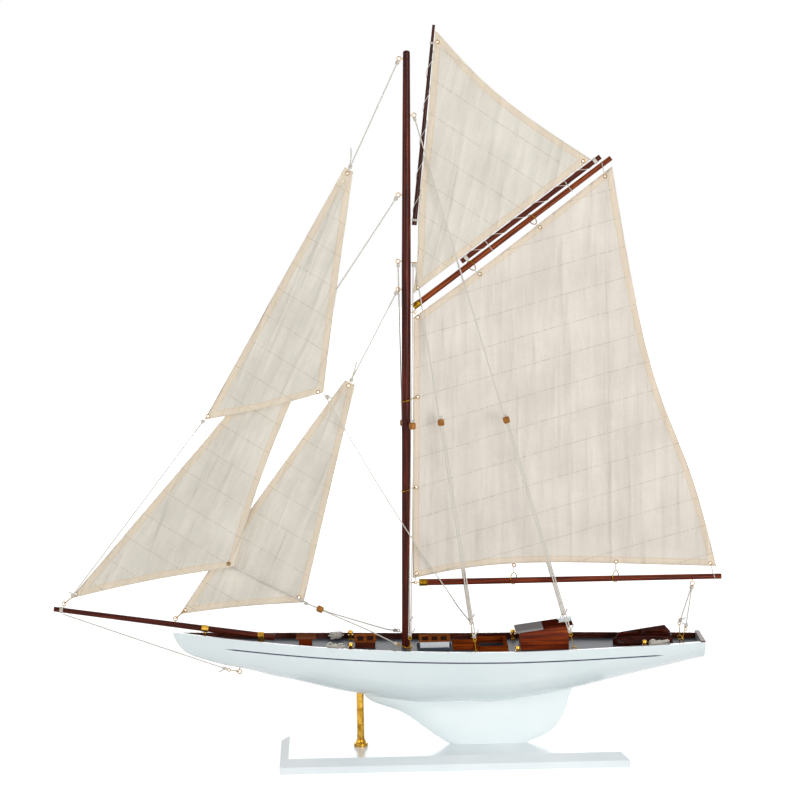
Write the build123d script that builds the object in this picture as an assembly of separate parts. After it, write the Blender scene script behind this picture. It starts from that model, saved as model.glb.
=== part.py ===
"""A model gaff cutter with topsail and three headsails, on its display base.

Millimetres. The bow points along -X, the port side along -Y, the masthead along +Z.
The ship is drawn with heights counted from the top of the base, where its keel stands,
and every piece is lifted by the height of the base when it is written, so that the
origin of the parts is the centre of the base's underside.
"""
from build123d import *
import math
import os

os.makedirs("parts", exist_ok=True)

# ------------------------------------------------------------------ driving sizes (mm)
# Display base and stand
BASE_LENGTH = 310.0
BASE_WIDTH = 104.0
BASE_EDGE = 6.5              # upright edge under the bevel
BEVEL_RISE = 5.9
BEVEL_RUN = 8.0
COLUMN_X = -82.5
COLUMN_DIAMETER = 6.4
COLUMN_SOCKET = 4.0          # how deep the column stands in the hull
COLLAR_DIAMETER = 12.4
COLLAR_RING = 3.0
COLLAR_HEIGHT = 6.6
SCREW_DIAMETER = 3.0
SCREW_HEAD = 6.0
SCREW_BITE = 12.0            # length of screw above the base
KEEL_SCREW_X = (14.0, 52.0)

# Hull
STEM_X = -248.5
TRANSOM_X = 225.5
SHEER_LOW_X = 60.0
SHEER_LOW = 92.0
BOW_RISE = 15.4
STERN_RISE = 1.0
HALF_BREADTH = (
    (-248.5, 0.7), (-209.0, 12.8), (-178.0, 20.6), (-146.0, 28.6), (-87.0, 38.9),
    (-42.0, 42.6), (5.0, 44.6), (53.0, 45.0), (110.0, 41.0), (147.0, 36.0),
    (195.0, 29.6), (225.5, 24.4),
)
ROCKER = (
    (-248.5, 105.4), (-243.8, 95.7), (-234.9, 87.4), (-210.1, 78.6), (-187.7, 73.4),
    (-130.7, 59.4), (-85.2, 48.9), (-19.8, 39.6), (43.1, 40.0), (107.1, 49.6),
    (151.2, 59.6), (205.3, 71.3), (225.5, 75.4),
)
HULL_STATIONS = (
    -248.5, -244.0, -236.0, -225.0, -210.0, -192.0, -172.0, -150.0, -126.0, -100.0, -72.0,
    -42.0, -10.0, 22.0, 54.0, 86.0, 117.0, 147.0, 175.0, 202.0, 225.5,
)
SKIN = 1.1                   # white top edge outside the bulwark lining
BULWARK = 5.5                # height of the rail over the deck edge
LINING = 1.5
DECK_THICKNESS = 4.0
CAMBER = 0.9
POCKET_FORE_X = -241.0
LINING_FORE_X = -234.0
TRANSOM_WALL = 4.0
RAIL_CAP = 1.2

# Keel fin: height, leading edge, trailing edge, half thickness
FIN_SECTIONS = (
    (0.0, -2.0, 67.0, 4.0), (6.0, -11.5, 81.0, 4.1), (12.0, -20.0, 91.0, 4.2),
    (20.0, -30.5, 97.3, 4.5), (28.0, -41.5, 101.3, 5.2), (36.0, -60.0, 104.0, 6.8),
    (44.0, -76.5, 106.3, 10.5), (54.0, -95.0, 107.6, 19.0),
)

# Mast and spars
MAST_X = -40.5               # on deck
MAST_RAKE = 1.0              # degrees, aft
MAST_STEP = 7.0              # depth of the mast below the deck
MAST_TOP = 620.1
MAST_RADII = ((0.0, 3.7), (240.0, 4.05), (350.0, 4.05), (475.0, 3.45), (534.0, 3.1))
BOWSPRIT_TIP = (-354.1, 130.6)
BOWSPRIT_HEEL = (-157.8, 100.6)
BOWSPRIT_RADII = (2.2, 2.9)  # tip, heel
BOOM_HEIGHT = 147.9
BOOM_END_X = 242.8
BOOM_RADII = (2.9, 2.4)
GAFF_PIVOT_HEIGHT = 390.3
GAFF_HEEL_RISE = 4.4         # from the gaff's pivot ring up to its heel
GAFF_END = (147.1, 523.0)
GAFF_RADII = (2.7, 2.25)
JACKYARD_GAP = 1.65          # between gaff and jackyard
JACKYARD_RADIUS = 2.25
JACKYARD_FROM = 57.9         # measured along the gaff
JACKYARD_LENGTH = 153.0
YARD_HEAD = (-7.0, 641.8)
YARD_FOOT = (-26.9, 467.2)
YARD_RADII = (1.25, 2.2)     # head, foot
FERRULE_LENGTH = 7.2
FERRULE_WALL = 0.3
FERRULE_GRIP = 5.0           # how far the spar goes into it
BOOM_NECK = 1.6              # wire between the boom's pivot ring and its ferrule
SHEET_EYE_X = 216.7          # where the mainsheet leaves the boom

# Brass wire fittings
WIRE = 0.7
EYE_RADIUS = 1.9             # middle of the wire
LINK_RADIUS = 1.3            # small rings that hook into eyes
PIVOT_RADIUS = 1.35
EYE_REACH = 3.3              # from the wood to the middle of the eye
SCREW_IN = 2.2               # length of an eye's shank in the wood
HOLE_SIDES = 8
RING_SIDES = 12

# Cordage and beads
CORD = 0.9
CORD_GAP = 0.1
LEG_SPREAD = 0.95            # half the distance between the two legs of a line
SEIZING_RADIUS = 1.75
SEIZING_LENGTH = 2.6
BEAD_RADIUS = 3.0
BEAD_LENGTH = 6.0
BEAD_HOLE = 0.62
BEAD_CHAMFER = 0.9
STOPPER_RADIUS = 0.95
STOPPER_LENGTH = 1.4

# Sails
CLOTH = 0.8
GROMMET_OUTER = 1.9
GROMMET_HOLE = 1.1
GROMMET_THICKNESS = 1.4
HOOP_CLEARANCE = 1.1         # between the mast and its hoops
HOOP_WIRE = 0.6
HOOP_TILT = 15.0             # degrees, up towards the sail
BOOM_RING_RADIUS = 5.25
BOOM_RING_SHIFT = 1.85       # from the boom's axis towards the sail
GAFF_RING_RADIUS = 4.8
GAFF_RING_SHIFT = 1.6
SPAR_RING_TURN = 35.0        # degrees from square across the spar
TIE_THREAD = 0.6
TIE_HALF_WIDTH = 1.25

TOPSAIL_LUFF = ((-23.1, 475.0), (-16.7, 530.3), (-11.2, 583.0), (-5.7, 636.4))

# Deck houses and hatches
HATCH_LID_X = (-138.7, -121.0)
HATCH_LID_HALF = 8.0
HATCH_COAMING_X = (-136.2, -124.4)
HATCH_COAMING_HALF = 5.5
HATCH_SEAT = 99.9            # underside of the lid
HATCH_LID = 2.3
FORE_BASE_X = (-86.0, -68.0)
FORE_BASE_HALF = 8.0
FORE_EAVES = 96.1
FORE_RIDGE = 102.6
FORE_PANES = ((-84.0, -78.6), (-75.5, -70.0))
PLINTH_X = (-30.5, 0.0)
PLINTH_HALF = 11.5
PLINTH_TOP = 90.3
SKYLIGHT_X = (-28.0, -2.0)
SKYLIGHT_HALF = 9.6
SKYLIGHT_EAVES = 95.5
SKYLIGHT_RIDGE = 100.6
SKYLIGHT_PANES = ((-26.2, -20.7), (-17.7, -12.5), (-9.6, -4.2))
ROOF_OVERHANG = 0.9
ROOF_FASCIA = 0.6
PANE_DEPTH = 0.6
COCKPIT_X = (1.0, 19.5, 24.5, 50.0)
COCKPIT_NARROW = 11.5
COCKPIT_WIDE = 23.0
COAMING_WALL = 2.8
COAMING_TOP = 93.0
WELL_FLOOR = 1.0             # deck left under the cockpit well
DECKHOUSE_X = (61.5, 104.5)
DECKHOUSE_HALF = 14.0
ROOF_X = (57.5, 108.0)
ROOF_HALF = 15.5
ROOF_THICKNESS = 1.7
HOUSE_FRONT = 102.6
HOUSE_SLOPE = 0.13
SLIDE_X = (95.0, 108.5)
SLIDE_HALF = 4.8
SLIDE_BLOCK_X = (96.5, 107.0)
SLIDE_BLOCK_HALF = 4.0
SLIDE_BLOCK = 3.1
SLIDE_BOARD = 1.4
DINGHY_SECTIONS = (
    (145.0, 0.9, 5.0), (149.0, 4.6, 7.0), (158.0, 9.2, 8.3), (171.0, 12.0, 9.0),
    (186.0, 11.5, 8.8), (198.0, 8.6, 7.9),
)
DINGHY_KEEL = 1.6
DINGHY_KEEL_LINE = (
    (146.5, 91.0), (150.0, 98.6), (170.0, 101.6), (191.5, 104.6), (196.5, 99.0), (196.5, 91.0),
)
GAMMON_X = -219.9
STRAP_X = (-172.8, -167.4)

# Deck fittings: place and size
BOLLARDS = ((-90.0, 28.0), (57.5, 37.0), (171.0, 25.0))
BOLLARD_HEIGHT = 9.0
BOLLARD_RADIUS = 2.4
SHROUD_EYE = (20.5, 38.0)
BACKSTAY_EYE = (107.5, 36.5)
MAST_EYE = (-37.0, 28.0)
SHEET_EYE = (206.0, 7.0)
HANKS = {                    # middle, length and turn of each rope hank
    "fore_port": (-103.8, -26.6, 20.0, -9.0),
    "fore_starboard": (-103.0, 26.6, 14.5, 9.0),
    "aft_port": (184.5, -21.3, 19.5, 8.0),
}
HANK_WIDTH = 7.0
HANK_HEIGHT = 4.8
LASHING_WALL = 0.45
LASHING_LENGTH = 3.2


# ------------------------------------------------------------------ plain geometry
def curve(points, x):
    """Value at x on a smooth curve through the points, without overshoot."""
    slopes = [(q[1] - p[1]) / (q[0] - p[0]) for p, q in zip(points, points[1:])]
    tangents = [slopes[0]]
    for before, after in zip(slopes, slopes[1:]):
        same_way = before * after > 0
        tangents.append(2 * before * after / (before + after) if same_way else 0.0)
    tangents.append(slopes[-1])
    last = len(points) - 2
    i = min(last, sum(1 for p in points[1:-1] if x >= p[0]))
    (x0, y0), (x1, y1) = points[i], points[i + 1]
    h = x1 - x0
    t = (x - x0) / h
    rise = y0 * (1 + 2 * t) * (1 - t) ** 2 + y1 * t * t * (3 - 2 * t)
    return rise + h * (tangents[i] * t * (1 - t) ** 2 - tangents[i + 1] * t * t * (1 - t))


def rod(start, end, radius, end_radius=None):
    """A straight round bar, which may taper."""
    way = Vector(end) - Vector(start)
    plane = Plane(origin=start, z_dir=way)
    if end_radius is None or end_radius == radius:
        return Solid.make_cylinder(radius, way.length, plane)
    return Solid.make_cone(radius, end_radius, way.length, plane)


def box(x0, x1, y0, y1, z0, z1):
    return Solid.make_box(x1 - x0, y1 - y0, z1 - z0, Plane(origin=(x0, y0, z0)))


def ring(centre, normal, radius, wire, height=None, sides=RING_SIDES):
    """A small ring of wire, with flats all round."""
    tall = wire if height is None else height
    outer = RegularPolygon(radius + wire / 2, sides)
    inner = RegularPolygon(radius - wire / 2, sides)
    flat = Plane(origin=centre, z_dir=normal) * (outer - inner)
    return extrude(flat, tall / 2, both=True).solid()


def pin(start, end, radius):
    """A small bar with flats, for wire shanks and the holes they sit in."""
    way = Vector(end) - Vector(start)
    flat = Plane(origin=start, z_dir=way) * RegularPolygon(radius, HOLE_SIDES)
    return extrude(flat, way.length).solid()


def along(start, end, distance):
    """The point at a distance from the start on the way to the end."""
    way = Vector(end) - Vector(start)
    return Vector(start) + way.normalized() * distance


def fused(*solids):
    whole = solids[0]
    for more in solids[1:]:
        whole = whole + more
    return whole.solid()


# ------------------------------------------------------------------ hull shape
def sheer(x):
    """Height of the rail."""
    if x < SHEER_LOW_X:
        return SHEER_LOW + BOW_RISE * ((SHEER_LOW_X - x) / (SHEER_LOW_X - STEM_X)) ** 1.8
    return SHEER_LOW + STERN_RISE * ((x - SHEER_LOW_X) / (TRANSOM_X - SHEER_LOW_X)) ** 2


def deck_edge(x):
    return sheer(x) - BULWARK


def half_breadth(x, z):
    """Half width of the hull at a height, from round sections that stand up at the rail."""
    keel = curve(ROCKER, x)
    rise = min(1.0, max(0.0, (z - keel) / (sheer(x) - keel)))
    return curve(HALF_BREADTH, x) * math.sqrt(1 - (1 - rise) ** 2)


def deck_half(x):
    """Half width over which the deck's camber is drawn, a little past the hull."""
    return half_breadth(x, deck_edge(x)) + 3


def deck_height(x, y=0.0):
    """Height of the cambered deck's top."""
    return deck_edge(x) + CAMBER * (1 - (y / deck_half(x)) ** 2)


def hull_section(x, points=9):
    keel = curve(ROCKER, x)
    half = curve(HALF_BREADTH, x)
    side = []
    for i in range(points):
        angle = math.pi / 2 * i / (points - 1)
        side.append((half * math.sin(angle), keel + (sheer(x) - keel) * (1 - math.cos(angle))))
    port = [Vector(x, -y, z) for y, z in reversed(side)]
    starboard = [Vector(x, y, z) for y, z in side[1:]]
    skin = Edge.make_spline(port + starboard)
    return Wire([skin, Edge.make_line(starboard[-1], port[0])])


def frame_section(x, half, low, high):
    corners = [(x, -half, low), (x, half, low), (x, half, high), (x, -half, high)]
    return Wire.make_polygon(corners, close=True)


def pocket_floor(x):
    return deck_edge(x) - DECK_THICKNESS


def pocket_half(x):
    return half_breadth(x, pocket_floor(x)) - SKIN


def pocket_stations(first):
    inner = [x for x in HULL_STATIONS if first + 4 < x < TRANSOM_X - TRANSOM_WALL - 4]
    return [first] + inner + [TRANSOM_X - TRANSOM_WALL]


def build_hull_body():
    return Solid.make_loft([hull_section(x) for x in HULL_STATIONS])


def build_pocket(first, inset, headroom):
    """The space inside the bulwarks, from under the deck to over the rail."""
    sections = []
    for x in pocket_stations(first):
        half = pocket_half(x) - inset
        sections.append(frame_section(x, half, pocket_floor(x), sheer(x) + headroom))
    return Solid.make_loft(sections)


def build_under_deck():
    """All that lies below the cambered top of the deck."""
    sections = []
    for x in pocket_stations(POCKET_FORE_X - 3):
        half = deck_half(x)
        low = pocket_floor(x) - 10
        side = deck_height(x, half)
        arch = Edge.make_three_point_arc((x, -half, side), (x, 0, deck_height(x)), (x, half, side))
        wall_a = Edge.make_line((x, half, side), (x, half, low))
        floor = Edge.make_line((x, half, low), (x, -half, low))
        wall_b = Edge.make_line((x, -half, low), (x, -half, side))
        sections.append(Wire([arch, wall_a, floor, wall_b]))
    return Solid.make_loft(sections)


def fin_section(height, lead, trail, half):
    """A keel section: round ahead, fine behind."""
    side = []
    steps = 8
    for i in range(1, steps):
        s = i / steps
        side.append((lead + (trail - lead) * s, half * math.sin(math.pi * s ** 0.7) ** 0.6))
    nose = Vector(lead, 0, height)
    tail = Vector(trail, 0, height)
    port = Edge.make_spline([nose] + [Vector(x, -y, height) for x, y in side] + [tail])
    back = [Vector(x, y, height) for x, y in reversed(side)]
    starboard = Edge.make_spline([tail] + back + [nose])
    return Wire([port, starboard])


# ------------------------------------------------------------------ mast and spars
def mast_axis(z, y=0.0):
    deck = deck_height(MAST_X)
    return Vector(MAST_X + math.tan(math.radians(MAST_RAKE)) * (z - deck), y, z)


def mast_radius(z):
    return curve(MAST_RADII, z - deck_height(MAST_X))


def build_mast():
    """A round pole, fullest at half height, with a rounded head."""
    deck = deck_height(MAST_X)
    length = (MAST_TOP - deck) / math.cos(math.radians(MAST_RAKE))
    top = MAST_RADII[-1][1]
    dome = top * 0.6
    profile = [(0, -MAST_STEP), (MAST_RADII[0][1], -MAST_STEP)]
    profile += [(radius, height) for height, radius in MAST_RADII[:-1]]
    profile += [(top, length - dome), (top * 0.85, length - dome * 0.5)]
    profile += [(top * 0.5, length - dome * 0.12), (0, length)]
    outline = Wire.make_polygon([(r, 0, z) for r, z in profile], close=True)
    pole = revolve(Face(outline), Axis.Z).solid()
    return pole.moved(Location((MAST_X, 0, deck), (0, MAST_RAKE, 0)))


# Pivot rings: the mast's ring lies flat, the spar's ring stands in it.
RING_OUT = PIVOT_RADIUS + WIRE / 2
RING_STEP = PIVOT_RADIUS + 0.2
BOOM_REACH = 1.3             # the boom's ring stands further off the mast than the gaff's


def mast_ring_x(z, reach):
    return mast_axis(z).X + mast_radius(z) + reach + RING_OUT


BOOM_RING_X = mast_ring_x(BOOM_HEIGHT, BOOM_REACH)
GAFF_RING_X = mast_ring_x(GAFF_PIVOT_HEIGHT, 0.3)
BOOM_PIVOT = Vector(BOOM_RING_X + RING_STEP / 2, 0, BOOM_HEIGHT)
GAFF_PIVOT = Vector(GAFF_RING_X + RING_STEP / 2, 0, GAFF_PIVOT_HEIGHT)
BOOM_WAY = Vector(1, 0, 0)
BOOM_HEEL = BOOM_PIVOT + BOOM_WAY * (RING_STEP / 2 + RING_OUT + BOOM_NECK)
BOOM_END = Vector(BOOM_END_X, 0, BOOM_HEIGHT)
GAFF_HEEL = GAFF_PIVOT + Vector(-0.5, 0, GAFF_HEEL_RISE)
GAFF_PEAK = Vector(GAFF_END[0], 0, GAFF_END[1])
GAFF_WAY = (GAFF_PEAK - GAFF_HEEL).normalized()
GAFF_UP = Vector(-GAFF_WAY.Z, 0, GAFF_WAY.X)
JACKYARD_RISE = GAFF_RADII[0] + JACKYARD_GAP + JACKYARD_RADIUS


def gaff_point(distance, rise=0.0, y=0.0):
    """A place measured along the gaff from its heel, and up from its axis."""
    return GAFF_HEEL + GAFF_WAY * distance + GAFF_UP * rise + Vector(0, y, 0)


def spar(heel, end, radii):
    """A tapered spar whose heel stands in a ferrule."""
    return rod(along(heel, end, FERRULE_LENGTH - FERRULE_GRIP), end, radii[0], radii[1])


def ferrule(heel, end, radii):
    """A brass cap over a spar's heel."""
    cap = rod(heel, along(heel, end, FERRULE_LENGTH), radii[0] + FERRULE_WALL)
    return (cap - spar(heel, end, radii)).solid()


def mast_pivot(ring_x, height):
    """The flat ring on the mast that a spar turns in, and its shank."""
    centre = Vector(ring_x, 0, height)
    root = mast_axis(height) + Vector(mast_radius(height) - SCREW_IN, 0, 0)
    shank = pin(root, centre - Vector(PIVOT_RADIUS - 0.1, 0, 0), WIRE / 2)
    return fused(ring(centre, (0, 0, 1), PIVOT_RADIUS, WIRE), shank), shank


def boom_pivot_eye():
    eye = ring(BOOM_PIVOT + BOOM_WAY * (RING_STEP / 2), (0, 1, 0), PIVOT_RADIUS, WIRE)
    neck = pin(BOOM_HEEL - BOOM_WAY * (BOOM_NECK + 0.2), BOOM_HEEL + BOOM_WAY * 0.2, WIRE / 2)
    return fused(eye, neck)


def gaff_pivot_eye():
    centre = GAFF_PIVOT + Vector(RING_STEP / 2, 0, 0)
    eye = ring(centre, (0, 1, 0), PIVOT_RADIUS, WIRE)
    top = centre + Vector(0, 0, PIVOT_RADIUS)
    return fused(eye, pin(top, GAFF_HEEL + GAFF_WAY * 1.2 - GAFF_UP * 1.0, WIRE / 2))


def spar_ring(centre, way, pull, radius, shift):
    """A loose ring round a spar, pulled off centre towards the sail and turned a little."""
    side = way.cross(pull)
    turn = math.radians(SPAR_RING_TURN)
    normal = way * math.cos(turn) + side * math.sin(turn)
    return ring(centre + pull * shift, normal, radius, WIRE, sides=16)


def teardrop(reach, large, small):
    """Outline that goes round a circle at the origin and a smaller one at reach."""
    angle = math.acos((large - small) / reach)
    c = math.cos(angle)
    s = math.sin(angle)
    big = Edge.make_three_point_arc((large * c, large * s), (-large, 0), (large * c, -large * s))
    tip = Edge.make_three_point_arc(
        (reach + small * c, -small * s), (reach + small, 0), (reach + small * c, small * s)
    )
    lines = [Edge.make_line(big @ 1, tip @ 0), Edge.make_line(tip @ 1, big @ 0)]
    return Face(Wire([big, tip] + lines))


def hoop(centre, far, radius, thread, far_radius=None):
    """A loop round a mast or spar at centre and through a hole, or round a second spar, at far."""
    way = Vector(far) - Vector(centre)
    small = GROMMET_HOLE if far_radius is None else far_radius
    reach = way.length - (small + thread / 2 if far_radius is None else 0)
    plane = Plane(origin=centre, x_dir=way, z_dir=way.cross(Vector(0, 1, 0)))
    outer = teardrop(reach, radius + thread, small + thread)
    band = plane * (Sketch() + outer - teardrop(reach, radius, small))
    return extrude(band, thread / 2, both=True).solid()


def tie(first, second, thread=TIE_THREAD, half_width=TIE_HALF_WIDTH):
    """A long loop of thread or wire from one ring to another."""
    way = Vector(second) - Vector(first)
    plane = Plane(origin=(Vector(first) + Vector(second)) / 2, x_dir=way,
                  z_dir=way.cross(Vector(0, 1, 0)))
    outer = SlotOverall(way.length + thread, 2 * half_width + thread)
    inner = SlotOverall(way.length - thread, 2 * half_width - thread)
    return extrude(plane * (outer - inner), thread / 2, both=True).solid()


# ------------------------------------------------------------------ brass fittings
def screw_eye(base, out, normal, reach=EYE_REACH, radius=EYE_RADIUS):
    """A wire eye on a shank that is screwed into wood at base. Returns eye and shank."""
    base = Vector(base)
    out = Vector(out).normalized()
    centre = base + out * reach
    shank = pin(base - out * SCREW_IN, centre - out * (radius - 0.1), WIRE / 2)
    return fused(ring(centre, normal, radius, WIRE), shank), shank


def hook(eye_centre, eye_normal, ring_centre):
    """A wire hook: one ring hangs in an eye, the other takes the cord."""
    way = (Vector(ring_centre) - Vector(eye_centre)).normalized()
    low = Vector(eye_centre) + way * (EYE_RADIUS + 0.3)
    high = Vector(ring_centre)
    shank = pin(low + way * (LINK_RADIUS - 0.1), high - way * (LINK_RADIUS - 0.1), WIRE / 2)
    lower = ring(low, way.cross(Vector(eye_normal)), LINK_RADIUS, WIRE)
    upper = ring(high, way.cross(Vector(1, 0, 0)), LINK_RADIUS, WIRE)
    return fused(lower, upper, shank)


def build_bollard(x, y):
    """A brass post with a foot, a collar and a button head."""
    r = BOLLARD_RADIUS
    h = BOLLARD_HEIGHT
    stem = r * 0.5
    steps = (
        (0, -1), (r, -1), (r, 0.8), (stem, 1.2), (stem, h * 0.36), (r, h * 0.43),
        (r, h * 0.54), (stem, h * 0.6), (stem, h * 0.68), (r, h * 0.76),
        (r * 0.85, h * 0.94), (r * 0.4, h), (0, h),
    )
    outline = Wire.make_polygon([(px, 0, pz) for px, pz in steps], close=True)
    post = revolve(Face(outline), Axis.Z).solid()
    return post.moved(Location((x, y, deck_height(x, y))))


# ------------------------------------------------------------------ rigging lines
class RiggingLine:
    """A line from a high point to a ring, doubled between the ring and its bead."""

    def __init__(self, low, high, share):
        self.way = (Vector(high) + Vector(LEG_SPREAD, 0, 0) - Vector(low)).normalized()
        aft = Vector(1, 0, 0)
        self.offset = (aft - self.way * aft.dot(self.way)).normalized() * LEG_SPREAD
        self.foot = Vector(low) + self.way * (LINK_RADIUS + WIRE / 2 + CORD_GAP)
        self.length = (Vector(high) - self.foot).dot(self.way)
        self.bead = self.foot + self.way * (self.length * (1 - share))

    def cord(self):
        """The standing leg, the hauling leg with its stopper knot, and the seizing."""
        top = self.foot + self.way * self.length
        over = self.bead + self.way * (BEAD_LENGTH / 2 + CORD_GAP) + self.offset
        standing = rod(self.foot - self.offset, top - self.offset, CORD / 2)
        hauling = rod(self.foot + self.offset, over + self.way * STOPPER_LENGTH, CORD / 2)
        stopper = rod(over, over + self.way * STOPPER_LENGTH, STOPPER_RADIUS)
        seizing = rod(self.foot, self.foot + self.way * SEIZING_LENGTH, SEIZING_RADIUS)
        return fused(seizing, standing, hauling, stopper)

    def wooden_bead(self):
        """A turned bead with two holes, one for each leg."""
        return wooden_bead(self.bead, self.way, self.offset)


def wooden_bead(centre, way, offset):
    plane = Plane(origin=centre, z_dir=way, x_dir=offset)
    body = extrude(plane * RegularPolygon(BEAD_RADIUS, HOLE_SIDES), BEAD_LENGTH / 2, both=True)
    ends = body.faces().sort_by(Axis(centre, way))
    body = chamfer(ends[-1].edges() + ends[0].edges(), BEAD_CHAMFER)
    for leg in (-offset, offset):
        reach = way * BEAD_LENGTH
        body = body - pin(centre + leg - reach, centre + leg + reach, BEAD_HOLE)
    return body.solid()


def tight_cord(points, radius):
    """A taut cord through points, rounded where it turns over a fitting."""
    route = [Vector(p) for p in points]
    if len(route) == 2:
        return rod(route[0], route[1], CORD / 2)
    path = FilletPolyline(*route, radius=radius)
    section = Plane(origin=route[0], z_dir=route[1] - route[0]) * Circle(CORD / 2)
    return sweep(section, path=path).solid()


# ------------------------------------------------------------------ sails
class Sail:
    """A four-sided cloth with curved edges and a belly, drawn as its middle surface."""

    def __init__(self, luff, leech, belly):
        # luff and leech run from the foot up; foot and head join their ends
        self.luff = Edge.make_spline([Vector(p) for p in luff])
        self.leech = Edge.make_spline([Vector(p) for p in leech])
        self.belly = belly
        self.foot = Edge.make_line(self.luff @ 0, self.leech @ 0)
        self.head = Edge.make_line(self.luff @ 1, self.leech @ 1)

    def with_foot(self, middle):
        points = [self.luff @ 0, *[Vector(p) for p in middle], self.leech @ 0]
        self.foot = Edge.make_spline(points)
        return self

    def with_head(self, middle):
        points = [self.luff @ 1, *[Vector(p) for p in middle], self.leech @ 1]
        self.head = Edge.make_spline(points)
        return self

    def at(self, u, v):
        """u from luff to leech, v from foot to head."""
        edges = (self.foot @ u) * (1 - v) + (self.head @ u) * v
        edges += (self.luff @ v) * (1 - u) + (self.leech @ v) * u
        low = (self.luff @ 0) * (1 - u) + (self.leech @ 0) * u
        high = (self.luff @ 1) * (1 - u) + (self.leech @ 1) * u
        swell = self.belly * math.sin(math.pi * u) * math.sin(math.pi * v)
        return edges - (low * (1 - v) + high * v) + Vector(0, swell, 0)

    def locate(self, x, z):
        """The cloth's middle at a place in side view."""
        u = 0.5
        v = 0.5
        step = 0.002
        for _ in range(14):
            here = self.at(u, v)
            by_u = (self.at(u + step, v) - here) / step if u < 0.99 else (here - self.at(u - step, v)) / step
            by_v = (self.at(u, v + step) - here) / step if v < 0.99 else (here - self.at(u, v - step)) / step
            det = by_u.X * by_v.Z - by_v.X * by_u.Z
            dx = x - here.X
            dz = z - here.Z
            u = min(0.999, max(0.001, u + (dx * by_v.Z - by_v.X * dz) / det))
            v = min(0.999, max(0.001, v + (by_u.X * dz - dx * by_u.Z) / det))
        return Vector(x, self.at(u, v).Y, z)

    def cloth(self, holes, steps=6):
        """The sailcloth, with a round hole for each grommet."""
        half = Vector(0, CLOTH / 2, 0)
        rows = []
        for j in range(steps + 1):
            rows.append([self.at(i / steps, j / steps) - half for i in range(steps + 1)])
        surface = Face.make_surface_from_array_of_points(rows)
        solid = extrude(surface, CLOTH, dir=(0, 1, 0)).solid()
        reach = Vector(0, GROMMET_THICKNESS * 2, 0)
        for centre in holes:
            plane = Plane(origin=centre - reach, z_dir=(0, 1, 0))
            hole = extrude(plane * RegularPolygon(GROMMET_OUTER, RING_SIDES), 2 * reach.length)
            solid = (solid - hole).solid()
        return solid


def grommets(places):
    """Brass grommets, one in each hole."""
    middle = (GROMMET_OUTER + GROMMET_HOLE) / 2
    width = GROMMET_OUTER - GROMMET_HOLE
    return [ring(p, (0, 1, 0), middle, width, GROMMET_THICKNESS) for p in places]


def write(name, *solids):
    """Lift the node's solids by the base's height and write them."""
    base_height = BASE_EDGE + BEVEL_RISE
    lifted = [solid.moved(Location((0, 0, base_height))) for solid in solids]
    shape = lifted[0] if len(lifted) == 1 else Compound(lifted)
    shape.label = name
    export_step(shape, f"parts/{name}.step")
    volume = sum(solid.volume for solid in lifted)
    print(f"{name}: {len(lifted)} solids, {volume:.1f} mm3")


# ------------------------------------------------------------------ base and stand
def build_screw(x, z_top):
    """A countersunk wood screw that comes up through the base."""
    r = SCREW_DIAMETER / 2
    head = SCREW_HEAD / 2
    low = -BASE_EDGE - BEVEL_RISE
    sink = low + 0.4
    steps = ((0, sink), (head, sink), (r, sink + head - r), (r, z_top - r), (0, z_top))
    outline = Wire.make_polygon([(px, 0, pz) for px, pz in steps], close=True)
    return revolve(Face(outline), Axis.Z).solid().moved(Location((x, 0, 0)))


def screw_recess(x):
    """The open countersink under a screw's head."""
    low = -BASE_EDGE - BEVEL_RISE
    return rod((x, 0, low - 1), (x, 0, low + 0.4), SCREW_HEAD / 2)


def build_base(screws):
    bottom = -BASE_EDGE - BEVEL_RISE
    plan = Plane(origin=(0, 0, bottom)) * Rectangle(BASE_LENGTH, BASE_WIDTH)
    slab = extrude(plan, BASE_EDGE)
    top = Plane(origin=(0, 0, -BEVEL_RISE)) * Rectangle(BASE_LENGTH, BASE_WIDTH)
    bevel = extrude(top, BEVEL_RISE, taper=math.degrees(math.atan(BEVEL_RUN / BEVEL_RISE)))
    board = slab + bevel
    for screw in screws:
        board = board - screw
    for x in (COLUMN_X,) + KEEL_SCREW_X:
        board = board - screw_recess(x)
    return board.solid()


def build_collar():
    """A ring on the base that flares in to the column."""
    bore = COLUMN_DIAMETER / 2
    edge = COLLAR_DIAMETER / 2
    neck = bore + 0.6
    ring_top = COLLAR_RING
    outline = Wire([
        Edge.make_line((bore, 0, 0), (edge, 0, 0)),
        Edge.make_line((edge, 0, 0), (edge, 0, ring_top)),
        Edge.make_line((edge, 0, ring_top), (edge - 1.2, 0, ring_top)),
        Edge.make_spline([Vector(edge - 1.2, 0, ring_top), Vector(neck, 0, COLLAR_HEIGHT)],
                         tangents=[(-0.6, 0, 0.6), (0, 0, 1)]),
        Edge.make_line((neck, 0, COLLAR_HEIGHT), (bore, 0, COLLAR_HEIGHT)),
        Edge.make_line((bore, 0, COLLAR_HEIGHT), (bore, 0, 0)),
    ])
    collar = revolve(Face(outline), Axis.Z).solid()
    return collar.moved(Location((COLUMN_X, 0, 0)))


column_top = curve(ROCKER, COLUMN_X) + COLUMN_SOCKET
column = rod((COLUMN_X, 0, 0), (COLUMN_X, 0, column_top), COLUMN_DIAMETER / 2)
screws = [build_screw(x, SCREW_BITE) for x in (COLUMN_X,) + KEEL_SCREW_X]

# ------------------------------------------------------------------ the hull's pieces
hull_body = build_hull_body()
pocket = build_pocket(POCKET_FORE_X, 0.0, 3.0)
under_deck = build_under_deck()
mast = build_mast()
fin = Solid.make_loft([Wire(fin_section(*row)) for row in FIN_SECTIONS])


def seated(solid):
    """Furniture cut to stand on the cambered deck."""
    return (solid - under_deck).solid()


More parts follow.
